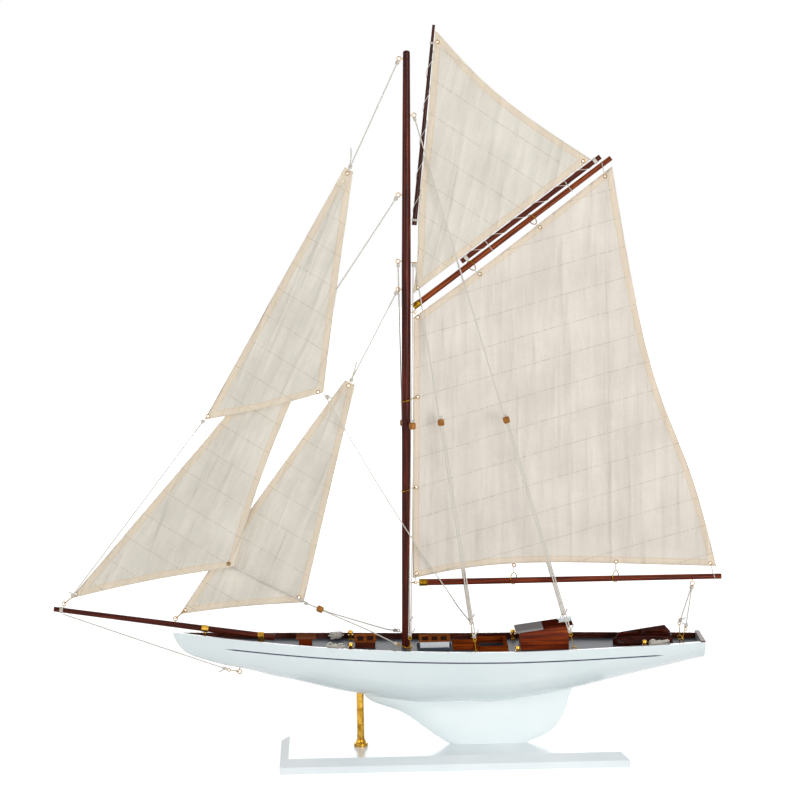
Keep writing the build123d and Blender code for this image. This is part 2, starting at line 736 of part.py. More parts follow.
def build_cockpit_plan(inset):
    """Plan of the cockpit: a narrow part ahead of a wide one."""
    half = COCKPIT_NARROW
    wide = COCKPIT_WIDE
    x0, x1, x2, x3 = COCKPIT_X
    corners = [(x0, -half), (x1, -half), (x2, -wide), (x3, -wide),
               (x3, wide), (x2, wide), (x1, half), (x0, half)]
    plan = Polygon(*corners, align=None)
    return offset(plan, -inset, kind=Kind.INTERSECTION) if inset else plan


def build_coaming():
    band = build_cockpit_plan(0) - build_cockpit_plan(COAMING_WALL)
    floor = pocket_floor(COCKPIT_X[0])
    return seated(extrude(Plane(origin=(0, 0, floor)) * band, COAMING_TOP - floor))


def build_cockpit_well():
    floor = deck_edge(SHEER_LOW_X) - DECK_THICKNESS + WELL_FLOOR
    return extrude(Plane(origin=(0, 0, floor)) * build_cockpit_plan(COAMING_WALL), 20)


def gabled_roof(x0, x1, half, eaves, ridge, panes):
    """A roof of two slopes with sunk panes along each side."""
    gable = Wire.make_polygon([
        (x0, -half, eaves), (x0, half, eaves), (x0, half, eaves + ROOF_FASCIA),
        (x0, 0, ridge), (x0, -half, eaves + ROOF_FASCIA),
    ], close=True)
    roof = extrude(Face(gable), x1 - x0, dir=(1, 0, 0))
    rise = ridge - eaves - ROOF_FASCIA
    low = half * 0.84
    high = half * 0.24
    for side in (-1, 1):
        z_low = ridge - rise * low / half
        z_high = ridge - rise * high / half
        for a, b in panes:
            strip = Wire.make_polygon([
                (a, side * low, z_low - PANE_DEPTH), (a, side * high, z_high - PANE_DEPTH),
                (a, side * high, z_high + 2), (a, side * low, z_low + 2),
            ], close=True)
            roof = roof - extrude(Face(strip), b - a, dir=(1, 0, 0))
    return roof.solid()


def build_deckhouse():
    """Cabin sides whose top follows the slope of the roof."""
    x0, x1 = DECKHOUSE_X
    side = Wire.make_polygon([
        (x0, -DECKHOUSE_HALF, 80), (x1, -DECKHOUSE_HALF, 80),
        (x1, -DECKHOUSE_HALF, house_roof(x1)), (x0, -DECKHOUSE_HALF, house_roof(x0)),
    ], close=True)
    return seated(extrude(Face(side), 2 * DECKHOUSE_HALF, dir=(0, 1, 0)))


def house_roof(x):
    """Height of the roof's underside."""
    return HOUSE_FRONT + HOUSE_SLOPE * (x - ROOF_X[0])


def sloped_plate(x0, x1, half, low, thickness):
    """A plate on the roof's slope, low above the roof's underside."""
    side = Wire.make_polygon([
        (x0, -half, house_roof(x0) + low), (x1, -half, house_roof(x1) + low),
        (x1, -half, house_roof(x1) + low + thickness), (x0, -half, house_roof(x0) + low + thickness),
    ], close=True)
    return extrude(Face(side), 2 * half, dir=(0, 1, 0)).solid()


def dinghy_section(x, half, height, points=7):
    low = deck_height(x) - 3
    gunwale = deck_height(x)
    arch = []
    for i in range(points):
        angle = math.pi * i / (points - 1)
        swell = abs(math.cos(angle)) ** 0.8 * (1 if math.cos(angle) > 0 else -1)
        arch.append(Vector(x, -half * swell, gunwale + height * math.sin(angle) ** 0.75))
    skin = Edge.make_spline(arch)
    a = Vector(x, half, low)
    b = Vector(x, -half, low)
    return Wire([skin, Edge.make_line(arch[-1], a), Edge.make_line(a, b), Edge.make_line(b, arch[0])])


def build_dinghy():
    """An upturned rowing boat with its keel."""
    shell = Solid.make_loft([dinghy_section(*row) for row in DINGHY_SECTIONS])
    shell = seated(shell)
    outline = Wire.make_polygon([(x, -DINGHY_KEEL / 2, z) for x, z in DINGHY_KEEL_LINE], close=True)
    keel = extrude(Face(outline), DINGHY_KEEL, dir=(0, 1, 0)) - shell
    return shell, max(keel.solids(), key=lambda solid: solid.volume)


def build_gammon():
    """A band round the bowsprit on a post, with a bracket behind it."""
    way = bowsprit_way()
    centre = bowsprit_point(GAMMON_X)
    radius = bowsprit_radius(GAMMON_X) + 0.5
    band = rod(centre - way * 3, centre + way * 3, radius)
    post = rod((GAMMON_X, 0, deck_height(GAMMON_X) - 2), centre, 1.1)
    foot = rod((GAMMON_X, 0, deck_height(GAMMON_X) - 2), (GAMMON_X, 0, deck_height(GAMMON_X) + 0.8), 2.4)
    return seated(fused(band, post, foot) - bowsprit)


def build_heel_strap():
    """A saddle over the bowsprit with a foot on each side."""
    x0, x1 = STRAP_X
    middle = bowsprit_point((x0 + x1) / 2)
    bore = bowsprit_radius(x0)
    wall = 0.6
    saddle = rod((x0, 0, middle.Z), (x1, 0, middle.Z), bore + wall)
    low = deck_height(x0) - 2
    saddle = saddle + box(x0, x1, -bore - wall, bore + wall, low, middle.Z)
    saddle = saddle + box(x0, x1, -bore - 3.5, bore + 3.5, low, deck_height(x0) + wall)
    saddle = saddle - box(x0 - 1, x1 + 1, -bore, bore, low - 1, middle.Z) - bowsprit
    return seated(saddle.solid())


def bowsprit_way():
    tip = Vector(BOWSPRIT_TIP[0], 0, BOWSPRIT_TIP[1])
    heel = Vector(BOWSPRIT_HEEL[0], 0, BOWSPRIT_HEEL[1])
    return (heel - tip).normalized()


def bowsprit_point(x, up=0.0):
    """A point on the bowsprit's axis, or up from it."""
    share = (x - BOWSPRIT_TIP[0]) / (BOWSPRIT_HEEL[0] - BOWSPRIT_TIP[0])
    z = BOWSPRIT_TIP[1] + (BOWSPRIT_HEEL[1] - BOWSPRIT_TIP[1]) * share
    return Vector(x, 0, z + up)


def bowsprit_radius(x):
    share = (x - BOWSPRIT_TIP[0]) / (BOWSPRIT_HEEL[0] - BOWSPRIT_TIP[0])
    return BOWSPRIT_RADII[0] + (BOWSPRIT_RADII[1] - BOWSPRIT_RADII[0]) * share


bowsprit = rod(
    (BOWSPRIT_TIP[0], 0, BOWSPRIT_TIP[1]), (BOWSPRIT_HEEL[0], 0, BOWSPRIT_HEEL[1]), *BOWSPRIT_RADII
)
boom = spar(BOOM_HEEL, BOOM_END, BOOM_RADII)
gaff = spar(GAFF_HEEL, GAFF_PEAK, GAFF_RADII)
jackyard = rod(
    gaff_point(JACKYARD_FROM, JACKYARD_RISE),
    gaff_point(JACKYARD_FROM + JACKYARD_LENGTH, JACKYARD_RISE),
    JACKYARD_RADIUS,
)
yard = rod((YARD_FOOT[0], 0, YARD_FOOT[1]), (YARD_HEAD[0], 0, YARD_HEAD[1]), YARD_RADII[1], YARD_RADII[0])

# ------------------------------------------------------------------ eyes, hooks and their lines
eye_solids = []
drillings = {"mast": [], "deck": [], "bowsprit": [], "hull": []}


def add_eye(wood, base, out, normal, reach=EYE_REACH):
    """Screw an eye into a piece of wood and drill it. Returns the middle of the eye."""
    solid, shank = screw_eye(base, out, normal, reach)
    eye_solids.append(solid)
    drillings[wood].append(shank)
    return Vector(base) + Vector(out).normalized() * reach


def add_mast_eye(z, out, normal):
    base = mast_axis(z) + Vector(out, 0, 0) * (mast_radius(z) - 0.05)
    return add_eye("mast", base, (out, 0, 0), normal)


def drilled(solid, wood):
    for shank in drillings[wood]:
        solid = solid - shank
    return solid.solid()


def deck_base(place, side):
    return Vector(place[0], side * place[1], deck_height(place[0], place[1]))


SIDEWAYS = (0, 1, 0)
UPWARDS = (0, 0, 1)
FOREWARDS = (1, 0, 0)
flying_eye = add_mast_eye(612.9, -1, SIDEWAYS)
jib_eye = add_mast_eye(493.9, -1, SIDEWAYS)
halyard_eye = add_mast_eye(435.5, -1, SIDEWAYS)
staysail_eye = add_mast_eye(410.6, -1, SIDEWAYS)
backstay_eye = add_mast_eye(563.5, 1, SIDEWAYS)
shroud_eye = add_mast_eye(434.1, 1, UPWARDS)
tip_eye = add_eye("bowsprit", bowsprit_point(-344.9, 2.1), UPWARDS, SIDEWAYS, 3.9)
stay_eye = add_eye("bowsprit", bowsprit_point(-246.0, 2.5), UPWARDS, SIDEWAYS, 3.0)
hull_eye = add_eye("hull", (-189.8, 0, curve(ROCKER, -189.8) + 0.1), (0, 0, -1), SIDEWAYS, 3.7)

# One side's rigging: name of the fitting, its eye on deck, its ring, its line and bead
port_side = -1
starboard_side = 1
side_lines = {}
hooks = []
for name, side in (("port", port_side), ("starboard", starboard_side)):
    lines = []
    shroud_foot = add_eye("deck", deck_base(SHROUD_EYE, side), UPWARDS, SIDEWAYS)
    shroud_ring = Vector(19.5, side * 38.0, 102.3)
    hooks.append(hook(shroud_foot, SIDEWAYS, shroud_ring))
    shroud_top = shroud_eye + Vector(0.5, side * 1.9, -WIRE / 2 - CORD_GAP)
    lines.append(RiggingLine(shroud_ring, shroud_top, 0.425))
    back_foot = add_eye("deck", deck_base(BACKSTAY_EYE, side), UPWARDS, SIDEWAYS, 5.5)
    back_ring = Vector(104.6, side * 37.0, 104.9)
    hooks.append(hook(back_foot, SIDEWAYS, back_ring))
    back_top = backstay_eye + Vector(0.3, side * 2.2, -EYE_RADIUS)
    lines.append(RiggingLine(back_ring, back_top, 0.585))
    mast_foot = add_eye("deck", deck_base(MAST_EYE, side), UPWARDS, FOREWARDS, 3.9)
    halyard_ring = Vector(-37.5, side * 28.0, 103.0)
    hooks.append(hook(mast_foot, FOREWARDS, halyard_ring))
    if side == port_side:
        halyard_top = shroud_eye + Vector(-1.2, side * 1.9, -WIRE / 2 - CORD_GAP)
    else:
        halyard_top = halyard_eye + Vector(0.0, side * 0.9, -EYE_RADIUS - WIRE / 2 - CORD_GAP)
    lines.append(RiggingLine(halyard_ring, halyard_top, 0.435))
    side_lines[name] = lines

sheet_ring = {}
for name, side, x, z in (("port", -1, -47.9, 97.3), ("starboard", 1, -46.8, 99.0)):
    eye = Vector(MAST_EYE[0], side * MAST_EYE[1], deck_height(*MAST_EYE) + 3.9)
    sheet_ring[name] = Vector(x, side * 28.0, z)
    hooks.append(hook(eye, FOREWARDS, sheet_ring[name]))

main_ring = {}
for name, side, x, z in (("starboard", 1, 205.6, 104.2), ("port", -1, 209.6, 102.0)):
    eye = add_eye("deck", deck_base(SHEET_EYE, side), UPWARDS, SIDEWAYS)
    main_ring[name] = Vector(x, side * SHEET_EYE[1], z)
    hooks.append(hook(eye, SIDEWAYS, main_ring[name]))

bobstay_ring = Vector(-199.4, 0, 72.0)
hooks.append(hook(hull_eye, SIDEWAYS, bobstay_ring))

# ------------------------------------------------------------------ headsails
flying_jib = Sail(
    [(-215.7, -3.0, 298.5), (-86.9, -3.0, 519.4)],
    [(-109.7, -14.0, 322.0), (-96.9, -9.0, 409.5), (-79.9, -3.0, 514.9)],
    -2.0,
).with_foot([(-165.3, -9.0, 307.8)])
jib = Sail(
    [(-339.0, 0.0, 139.8), (-102.2, -1.0, 408.7)],
    [(-192.3, -9.0, 166.9), (-172.3, -6.0, 230.1), (-138.8, -4.0, 312.5), (-97.0, -1.0, 406.0)],
    -2.0,
).with_foot([(-267.4, -5.0, 155.5)])
staysail = Sail(
    [(-241.9, 0.0, 123.7), (-217.2, 0.0, 159.9), (-158.5, 0.0, 241.6), (-90.5, 0.0, 331.1)],
    [(-131.3, -1.0, 132.1), (-81.7, 0.0, 326.5)],
    -1.0,
).with_foot([(-186.3, -1.0, 129.6)])
headsail_holes = {
    "flying_jib": (flying_jib, ((-212.4, 301.6), (-114.5, 322.5), (-84.8, 513.8))),
    "jib": (jib, ((-334.2, 143.6), (-196.9, 169.8), (-101.0, 403.6))),
    "staysail": (staysail, ((-237.2, 127.0), (-135.3, 136.8), (-87.6, 326.0))),
}
headsail_places = {
    name: [sail.locate(x, z) for x, z in places]
    for name, (sail, places) in headsail_holes.items()
}

# ------------------------------------------------------------------ mainsail and topsail
mainsail = Sail(
    [(-33.3, 0, 151.9), (-32.4, 0, 233.9), (-30.4, 0, 314.6), (-28.9, 0, 385.6)],
    [(238.4, 0, 157.1), (213.7, 0, 248.0), (190.2, 0, 309.5), (169.0, 0, 391.9), (147.9, 0, 515.5)],
    5.0,
).with_foot([(12.3, 0, 159.7), (149.2, 0, 161.4)]).with_head(
    [gaff_point(60.0, -8.7), gaff_point(140.0, -7.9)]
)
topsail_tack = gaff_point(6.6, 9.7)
topsail_clew = gaff_point(203.0, 9.8)
topsail = Sail(
    [topsail_tack, (-25.0, 0, 434.1), *[(x, 0, z) for x, z in TOPSAIL_LUFF]],
    [topsail_clew, (87.5, 0, 550.6), (36.2, 0, 591.7), (-3.2, 0, 634.6)],
    3.0,
)
luff_holes = [mainsail.locate(-29.1, 233.9), mainsail.locate(-26.5, 314.6)]
foot_holes = [mainsail.locate(57.2, 161.6), mainsail.locate(148.5, 162.8)]
head_holes = [mainsail.locate(83.9, 463.2), mainsail.locate(30.1, 423.0)]
tack_hole = mainsail.locate(-29.9, 155.9)
throat_hole = mainsail.locate(-25.2, 385.6)
clew_hole = mainsail.locate(233.0, 159.6)
peak_hole = mainsail.locate(141.6, 507.0)
mainsail_holes = luff_holes + foot_holes + head_holes + [tack_hole, throat_hole, clew_hole, peak_hole]
topsail_holes = [topsail.locate(-3.9, 626.8), topsail.locate(122.5, 520.6), topsail.locate(-24.4, 412.0)]

# ------------------------------------------------------------------ write the hull and deck
hull = drilled(hull_body - pocket - column - mast, "hull")
write("base_board", build_base(screws))
write("stand_screws", *screws)
write("stand_column", (column - screws[0]).solid())
write("column_collar", build_collar())
write("hull", hull)
keel_fin = fin - hull_body - column
for screw in screws:
    keel_fin = keel_fin - screw
write("keel_fin", max(keel_fin.solids(), key=lambda solid: solid.volume))

coaming = build_coaming()
write("deck", drilled((pocket & under_deck) - mast - build_cockpit_well(), "deck"))
inner = build_pocket(LINING_FORE_X - 2, LINING, 6.0)
bulwark = (pocket & hull_body) - under_deck - inner
linings = bulwark & box(LINING_FORE_X, TRANSOM_X, -BASE_WIDTH, BASE_WIDTH, 0, SHEER_LOW * 2)
write("bulwark_linings", *linings.solids())
cap_half = half_breadth(TRANSOM_X, sheer(TRANSOM_X)) - 0.4
cap_top = sheer(TRANSOM_X) + RAIL_CAP
rail = box(TRANSOM_X - TRANSOM_WALL, TRANSOM_X, -cap_half, cap_half, cap_top - 3, cap_top)
write("transom_rail", (rail - hull_body).solid())

# ------------------------------------------------------------------ write the deck furniture
coaming_low = pocket_floor(HATCH_COAMING_X[0])
hatch_coaming = box(*HATCH_COAMING_X, -HATCH_COAMING_HALF, HATCH_COAMING_HALF, coaming_low, HATCH_SEAT)
hatch_lid = box(
    *HATCH_LID_X, -HATCH_LID_HALF, HATCH_LID_HALF, HATCH_SEAT, HATCH_SEAT + HATCH_LID
)
hatch_lid = chamfer(hatch_lid.faces().sort_by(Axis.Z)[-1].edges(), 0.4).solid()
write("fore_hatch", seated(hatch_coaming), hatch_lid)
fore_low = pocket_floor(FORE_BASE_X[0])
write("fore_skylight_base", seated(
    box(*FORE_BASE_X, -FORE_BASE_HALF, FORE_BASE_HALF, fore_low, FORE_EAVES)))
write("fore_skylight_roof", gabled_roof(
    FORE_BASE_X[0] - ROOF_OVERHANG, FORE_BASE_X[1] + ROOF_OVERHANG,
    FORE_BASE_HALF + ROOF_OVERHANG, FORE_EAVES, FORE_RIDGE, FORE_PANES))
plinth_low = pocket_floor(PLINTH_X[0])
plinth = seated(box(*PLINTH_X, -PLINTH_HALF, PLINTH_HALF, plinth_low, PLINTH_TOP))
walls = box(*SKYLIGHT_X, -SKYLIGHT_HALF, SKYLIGHT_HALF, PLINTH_TOP, SKYLIGHT_EAVES)
write("main_skylight_base", plinth, walls)
write("main_skylight_roof", gabled_roof(
    SKYLIGHT_X[0] - ROOF_OVERHANG, SKYLIGHT_X[1] + ROOF_OVERHANG,
    SKYLIGHT_HALF + ROOF_OVERHANG, SKYLIGHT_EAVES, SKYLIGHT_RIDGE, SKYLIGHT_PANES))
write("cockpit_coaming", coaming)
write("deckhouse", build_deckhouse())
write("deckhouse_roof", sloped_plate(*ROOF_X, ROOF_HALF, 0, ROOF_THICKNESS))
slide_low = ROOF_THICKNESS + SLIDE_BLOCK
write("companion_slide",
      sloped_plate(*SLIDE_BLOCK_X, SLIDE_BLOCK_HALF, ROOF_THICKNESS, SLIDE_BLOCK),
      sloped_plate(*SLIDE_X, SLIDE_HALF, slide_low, SLIDE_BOARD))
write("dinghy", *build_dinghy())
bollards = [seated(build_bollard(x, side * y)) for x, y in BOLLARDS for side in (-1, 1)]
write("bollards", *bollards)
write("gammon_iron", build_gammon())
write("heel_strap", build_heel_strap())

# ------------------------------------------------------------------ write mast, spars and fittings
boom_ring, boom_shank = mast_pivot(BOOM_RING_X, BOOM_HEIGHT)
gaff_ring, gaff_shank = mast_pivot(GAFF_RING_X, GAFF_PIVOT_HEIGHT)
drillings["mast"] += [boom_shank, gaff_shank]
write("mast", drilled(mast, "mast"))
write("bowsprit", drilled(bowsprit, "bowsprit"))
write("screw_eyes", boom_ring, gaff_ring, *eye_solids)
boom_eye = screw_eye((SHEET_EYE_X, 0, BOOM_HEIGHT - 2.45), (0, 0, -1), SIDEWAYS, 3.4)
write("boom", (boom - boom_eye[1]).solid())
boom_rings = []
for hole in foot_holes:
    foot = Vector(hole.X - 0.5, 0, BOOM_HEIGHT)
    boom_rings.append(spar_ring(foot, BOOM_WAY, Vector(0, 0, 1), BOOM_RING_RADIUS, BOOM_RING_SHIFT))
boom_ferrule = ferrule(BOOM_HEEL, BOOM_END, BOOM_RADII) - boom_pivot_eye()
write("boom_fittings", boom_ferrule.solid(), boom_pivot_eye(), boom_eye[0], *boom_rings)
write("gaff", gaff)
head_feet = [gaff_point((p - GAFF_HEEL).dot(GAFF_WAY) - 1.5) for p in head_holes]
gaff_rings = []
for foot in head_feet:
    gaff_rings.append(spar_ring(foot, GAFF_WAY, -GAFF_UP, GAFF_RING_RADIUS, GAFF_RING_SHIFT))
gaff_ferrule = ferrule(GAFF_HEEL, GAFF_PEAK, GAFF_RADII) - gaff_pivot_eye()
write("gaff_fittings", gaff_ferrule.solid(), gaff_pivot_eye(), *gaff_rings)
write("jackyard", jackyard)
write("topsail_yard", yard)

# ------------------------------------------------------------------ write the sails
write("mainsail", mainsail.cloth(mainsail_holes))
write("mainsail_grommets", *grommets(mainsail_holes))
write("topsail", topsail.cloth(topsail_holes))
write("topsail_grommets", *grommets(topsail_holes))
write("flying_jib", flying_jib.cloth(headsail_places["flying_jib"]))
write("jib", jib.cloth(headsail_places["jib"]))
write("staysail", staysail.cloth(headsail_places["staysail"]))
write("headsail_grommets", *grommets([p for places in headsail_places.values() for p in places]))

# ------------------------------------------------------------------ hoops, ties and lashings
hoops = []
for hole in luff_holes:
    drop = math.tan(math.radians(HOOP_TILT)) * (hole.X - mast_axis(hole.Z).X)
    centre = mast_axis(hole.Z - drop)
    hoops.append(hoop(centre, hole, mast_radius(centre.Z) + HOOP_CLEARANCE, HOOP_WIRE))
write("mast_hoops", *hoops)

off_ring = WIRE / 2 + TIE_THREAD / 2 + CORD_GAP
boom_ring_top = BOOM_HEIGHT + BOOM_RING_SHIFT + BOOM_RING_RADIUS + off_ring
gaff_ring_reach = GAFF_RING_SHIFT + GAFF_RING_RADIUS + off_ring
sail_ties = []
for hole in foot_holes:
    sail_ties.append(tie(hole, Vector(hole.X - 0.5, hole.Y / 2, boom_ring_top)))
for hole, foot in zip(head_holes, head_feet):
    sail_ties.append(tie(hole, foot - GAFF_UP * gaff_ring_reach))
boom_eye_top = BOOM_PIVOT + Vector(RING_STEP / 2, 0, PIVOT_RADIUS + off_ring)
sail_ties.append(tie(tack_hole, boom_eye_top))
gaff_eye_low = GAFF_PIVOT + Vector(RING_STEP / 2 + 0.6, 0, -PIVOT_RADIUS - off_ring)
sail_ties.append(tie(throat_hole, gaff_eye_low))
clew_foot = Vector(236.4, 0, BOOM_HEIGHT)
sail_ties.append(hoop(clew_foot, clew_hole, BOOM_RADII[1] + 0.35, TIE_THREAD))
peak_foot = gaff_point((peak_hole - GAFF_HEEL).dot(GAFF_WAY) + 4.0)
sail_ties.append(hoop(peak_foot, peak_hole, GAFF_RADII[1] + 0.35, TIE_THREAD))
write("mainsail_ties", *sail_ties)

hooks.append(tie(headsail_places["jib"][0], tip_eye, WIRE))
hooks.append(tie(headsail_places["staysail"][0], stay_eye, WIRE))
write("rigging_hooks", *hooks)


def lashing(centre, way, radius):
    """Turns of cord wound round a spar, as one sleeve."""
    start = Vector(centre) - way * (LASHING_LENGTH / 2)
    end = Vector(centre) + way * (LASHING_LENGTH / 2)
    return rod(start, end, radius + LASHING_WALL) - rod(start - way, end + way, radius)


lashings = []
for distance in (5.5, 147.0):
    at = JACKYARD_FROM + distance
    lashings.append(lashing(gaff_point(at, JACKYARD_RISE), GAFF_WAY, JACKYARD_RADIUS).solid())
for distance in (28.0, 115.0):
    at = JACKYARD_FROM + distance
    lashings.append(hoop(gaff_point(at), gaff_point(at, JACKYARD_RISE), GAFF_RADII[0] + 0.1,
                         TIE_THREAD, JACKYARD_RADIUS + 0.1))
write("spar_lashings", *lashings)

# ------------------------------------------------------------------ halyards, stays and sheets
halyards = []
for sail, eye in ((flying_jib, flying_eye), (jib, jib_eye), (staysail, staysail_eye)):
    head = sail.at(0.5, 1)
    low = along(head, eye, CORD_GAP + CORD / 2)
    high = along(eye, head, EYE_RADIUS + WIRE / 2 + CORD_GAP)
    halyards.append(tight_cord([low, high], 0))
pendant_top = along(flying_jib.at(0, 0), (-337.4, -1.5, 142.2), CORD)
halyards.append(tight_cord([pendant_top, (-337.4, -1.5, 142.2)], 0))
bobstay_top = bowsprit_point(-346.2, -bowsprit_radius(-346.2) - LASHING_WALL - CORD)
bobstay_low = along(bobstay_ring, bobstay_top, LINK_RADIUS + WIRE / 2 + CORD_GAP)
halyards.append(tight_cord([bobstay_low, bobstay_top], 0))
bowsprit_whipping = lashing(bowsprit_point(-347.3), bowsprit_way(), bowsprit_radius(-345.0))
halyards.append(bowsprit_whipping.solid())
write("headsail_halyards", *halyards)

bead_centre = Vector(-116.8, -2.0, 125.8)
bead_way = Vector(0.91, 0, -0.41).normalized()
bead_offset = Vector(0, -LEG_SPREAD, 0)
bead_reach = bead_way * (BEAD_LENGTH / 2 + 1.2)
sheet_runs = (
    (jib, 1, (-72.6, -9.0, 106.5), sheet_ring["port"]),
    (staysail, -1, (-56.0, 24.0, 100.6), sheet_ring["starboard"]),
)
sheets = []
for sail, leg, knot, ring_centre in sheet_runs:
    entry = bead_centre + bead_offset * leg - bead_reach
    exit_point = bead_centre + bead_offset * leg + bead_reach
    start = along(sail.at(1, 0), entry, CORD)
    end = along(ring_centre, knot, LINK_RADIUS + WIRE / 2 + CORD_GAP)
    sheets.append(tight_cord([start, entry, exit_point, knot, end], 4.0))
write("headsail_sheets", *sheets)
write("bead_headsail_sheet", wooden_bead(bead_centre, bead_way, bead_offset))

flying_clew = flying_jib.at(1, 0)
flying_end = Vector(17.6, 36.0, 105.6)
flying_route = [
    along(flying_clew, (-35.2, -6.5, 190.9), CORD),
    Vector(-72.0, -10.2, 253.0),
    Vector(-35.2, -6.5, 190.9),
    Vector(-8.6, -6.6, 149.5),
    Vector(0.0, -4.5, 136.5),
    Vector(8.0, 15.0, 120.5),
    flying_end,
]
write("flying_jib_sheet", tight_cord(flying_route, 8.0))

main_eye = Vector(SHEET_EYE_X, 0, BOOM_HEIGHT - 2.45 - 3.4)
main_lines = []
for name, side in (("port", -1), ("starboard", 1)):
    top = main_eye + Vector(-0.3, side * 0.8, -EYE_RADIUS - WIRE / 2 - 0.2)
    low = along(main_ring[name], top, LINK_RADIUS + WIRE / 2 + CORD_GAP)
    main_lines.append(tight_cord([low, top], 0))
write("mainsheet", *main_lines)

for name, lines in side_lines.items():
    write(f"rigging_{name}", *[line.cord() for line in lines])
    for kind, line in zip(("shroud", "backstay", "halyard"), lines):
        write(f"bead_{kind}_{name}", line.wooden_bead())

for name, (x, y, length, turn) in HANKS.items():
    plan = Plane(origin=(x, y, deck_height(x, y) - 2)) * Rot(0, 0, turn) * SlotOverall(length, HANK_WIDTH)
    hank = seated(extrude(plan, HANK_HEIGHT + 2))
    rim = hank.faces().sort_by(Axis.Z)[-1].edges()
    write(f"hank_{name}", fillet(rim, HANK_HEIGHT * 0.42).solid())
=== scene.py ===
import math
import random

import bmesh
import bpy
import numpy as np
from mathutils import Matrix, Vector, noise


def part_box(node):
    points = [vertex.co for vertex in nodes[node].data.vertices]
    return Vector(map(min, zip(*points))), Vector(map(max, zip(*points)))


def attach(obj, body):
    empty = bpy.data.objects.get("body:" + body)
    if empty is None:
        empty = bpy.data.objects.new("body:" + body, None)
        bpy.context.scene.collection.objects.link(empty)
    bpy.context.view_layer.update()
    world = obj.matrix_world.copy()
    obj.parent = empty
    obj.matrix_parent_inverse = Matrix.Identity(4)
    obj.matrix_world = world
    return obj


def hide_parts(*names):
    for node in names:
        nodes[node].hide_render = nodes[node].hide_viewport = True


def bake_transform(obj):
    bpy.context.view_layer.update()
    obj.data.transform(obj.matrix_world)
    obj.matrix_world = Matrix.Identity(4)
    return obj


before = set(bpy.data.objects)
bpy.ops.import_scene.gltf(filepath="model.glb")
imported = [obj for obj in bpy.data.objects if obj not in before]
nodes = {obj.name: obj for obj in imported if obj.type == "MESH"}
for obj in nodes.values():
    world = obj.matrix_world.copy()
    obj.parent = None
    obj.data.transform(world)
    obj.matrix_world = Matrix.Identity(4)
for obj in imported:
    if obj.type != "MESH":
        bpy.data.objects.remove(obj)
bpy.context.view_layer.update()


# ---------------------------------------------------------------- camera
# A long lens from the port side, a little above the deck and tilted down to take in the
# whole ship from the bowsprit's tip to the end of the boom.
CAMERA_PLACE = Vector((-0.09309, -2.60534, 0.64354))
CAMERA_YAW = -0.01957
CAMERA_PITCH = 0.12175
CAMERA_ROLL = -0.01723

camera_data = bpy.data.cameras.new("camera")
camera_data.lens = 133.26
camera_data.sensor_width = 36.0
camera = bpy.data.objects.new("camera", camera_data)
bpy.context.scene.collection.objects.link(camera)
level = Vector((-math.sin(CAMERA_YAW), math.cos(CAMERA_YAW), 0))
sideways = Vector((math.cos(CAMERA_YAW), math.sin(CAMERA_YAW), 0))
upright = Vector((0, 0, 1))
ahead = level * math.cos(CAMERA_PITCH) - upright * math.sin(CAMERA_PITCH)
above = level * math.sin(CAMERA_PITCH) + upright * math.cos(CAMERA_PITCH)
right = sideways * math.cos(CAMERA_ROLL) + above * math.sin(CAMERA_ROLL)
top = above * math.cos(CAMERA_ROLL) - sideways * math.sin(CAMERA_ROLL)
camera.matrix_world = Matrix.Translation(CAMERA_PLACE) @ Matrix((right, top, -ahead)).transposed().to_4x4()
bpy.context.scene.camera = camera
bpy.context.scene.view_settings.view_transform = "Standard"


# ---------------------------------------------------------------- cords
# Twisted cotton thread a good millimetre thick, led taut from eye to eye and hitched or seized
# at its ends. The two-legged lines run through a wooden bead that keeps their legs together.
MM = 0.001
BASE_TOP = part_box("base_board")[1].z / MM
CORD = 1.1
LEG_SPREAD = 0.95
RING_CLEAR = 1.75            # from the middle of a hook's ring to the cord's own round


def ship(x, y, z):
    """A place on the ship in metres, from millimetres above the top of the base."""
    return Vector((x, y, z + BASE_TOP)) * MM


def linear(colour):
    """A hex colour turned from sRGB to the linear values that a shader takes."""
    parts = [int(colour[i:i + 2], 16) / 255 for i in (0, 2, 4)]
    return [p / 12.92 if p <= 0.04045 else ((p + 0.055) / 1.055) ** 2.4 for p in parts] + [1.0]


def add_node(material, kind, settings=None, links=None):
    """Add a shader node, set its properties and inputs, and link sockets into it."""
    made = material.node_tree.nodes.new("ShaderNode" + kind)
    for key, value in (settings or {}).items():
        if isinstance(key, int) or key in made.inputs:
            made.inputs[key].default_value = value
        else:
            setattr(made, key, value)
    for key, socket in (links or {}).items():
        material.node_tree.links.new(socket, made.inputs[key])
    return made


def new_material(name):
    """An empty node material and its Principled shader."""
    material = bpy.data.materials.new(name)
    material.use_nodes = True
    return material, material.node_tree.nodes["Principled BSDF"]


def link(material, socket, shader, name):
    """Link a socket into one of the shader's inputs."""
    material.node_tree.links.new(socket, shader.inputs[name])


def paint(material, *names):
    """Give CAD pieces their finish."""
    for name in names:
        for place in nodes[name].material_slots:
            place.material = material


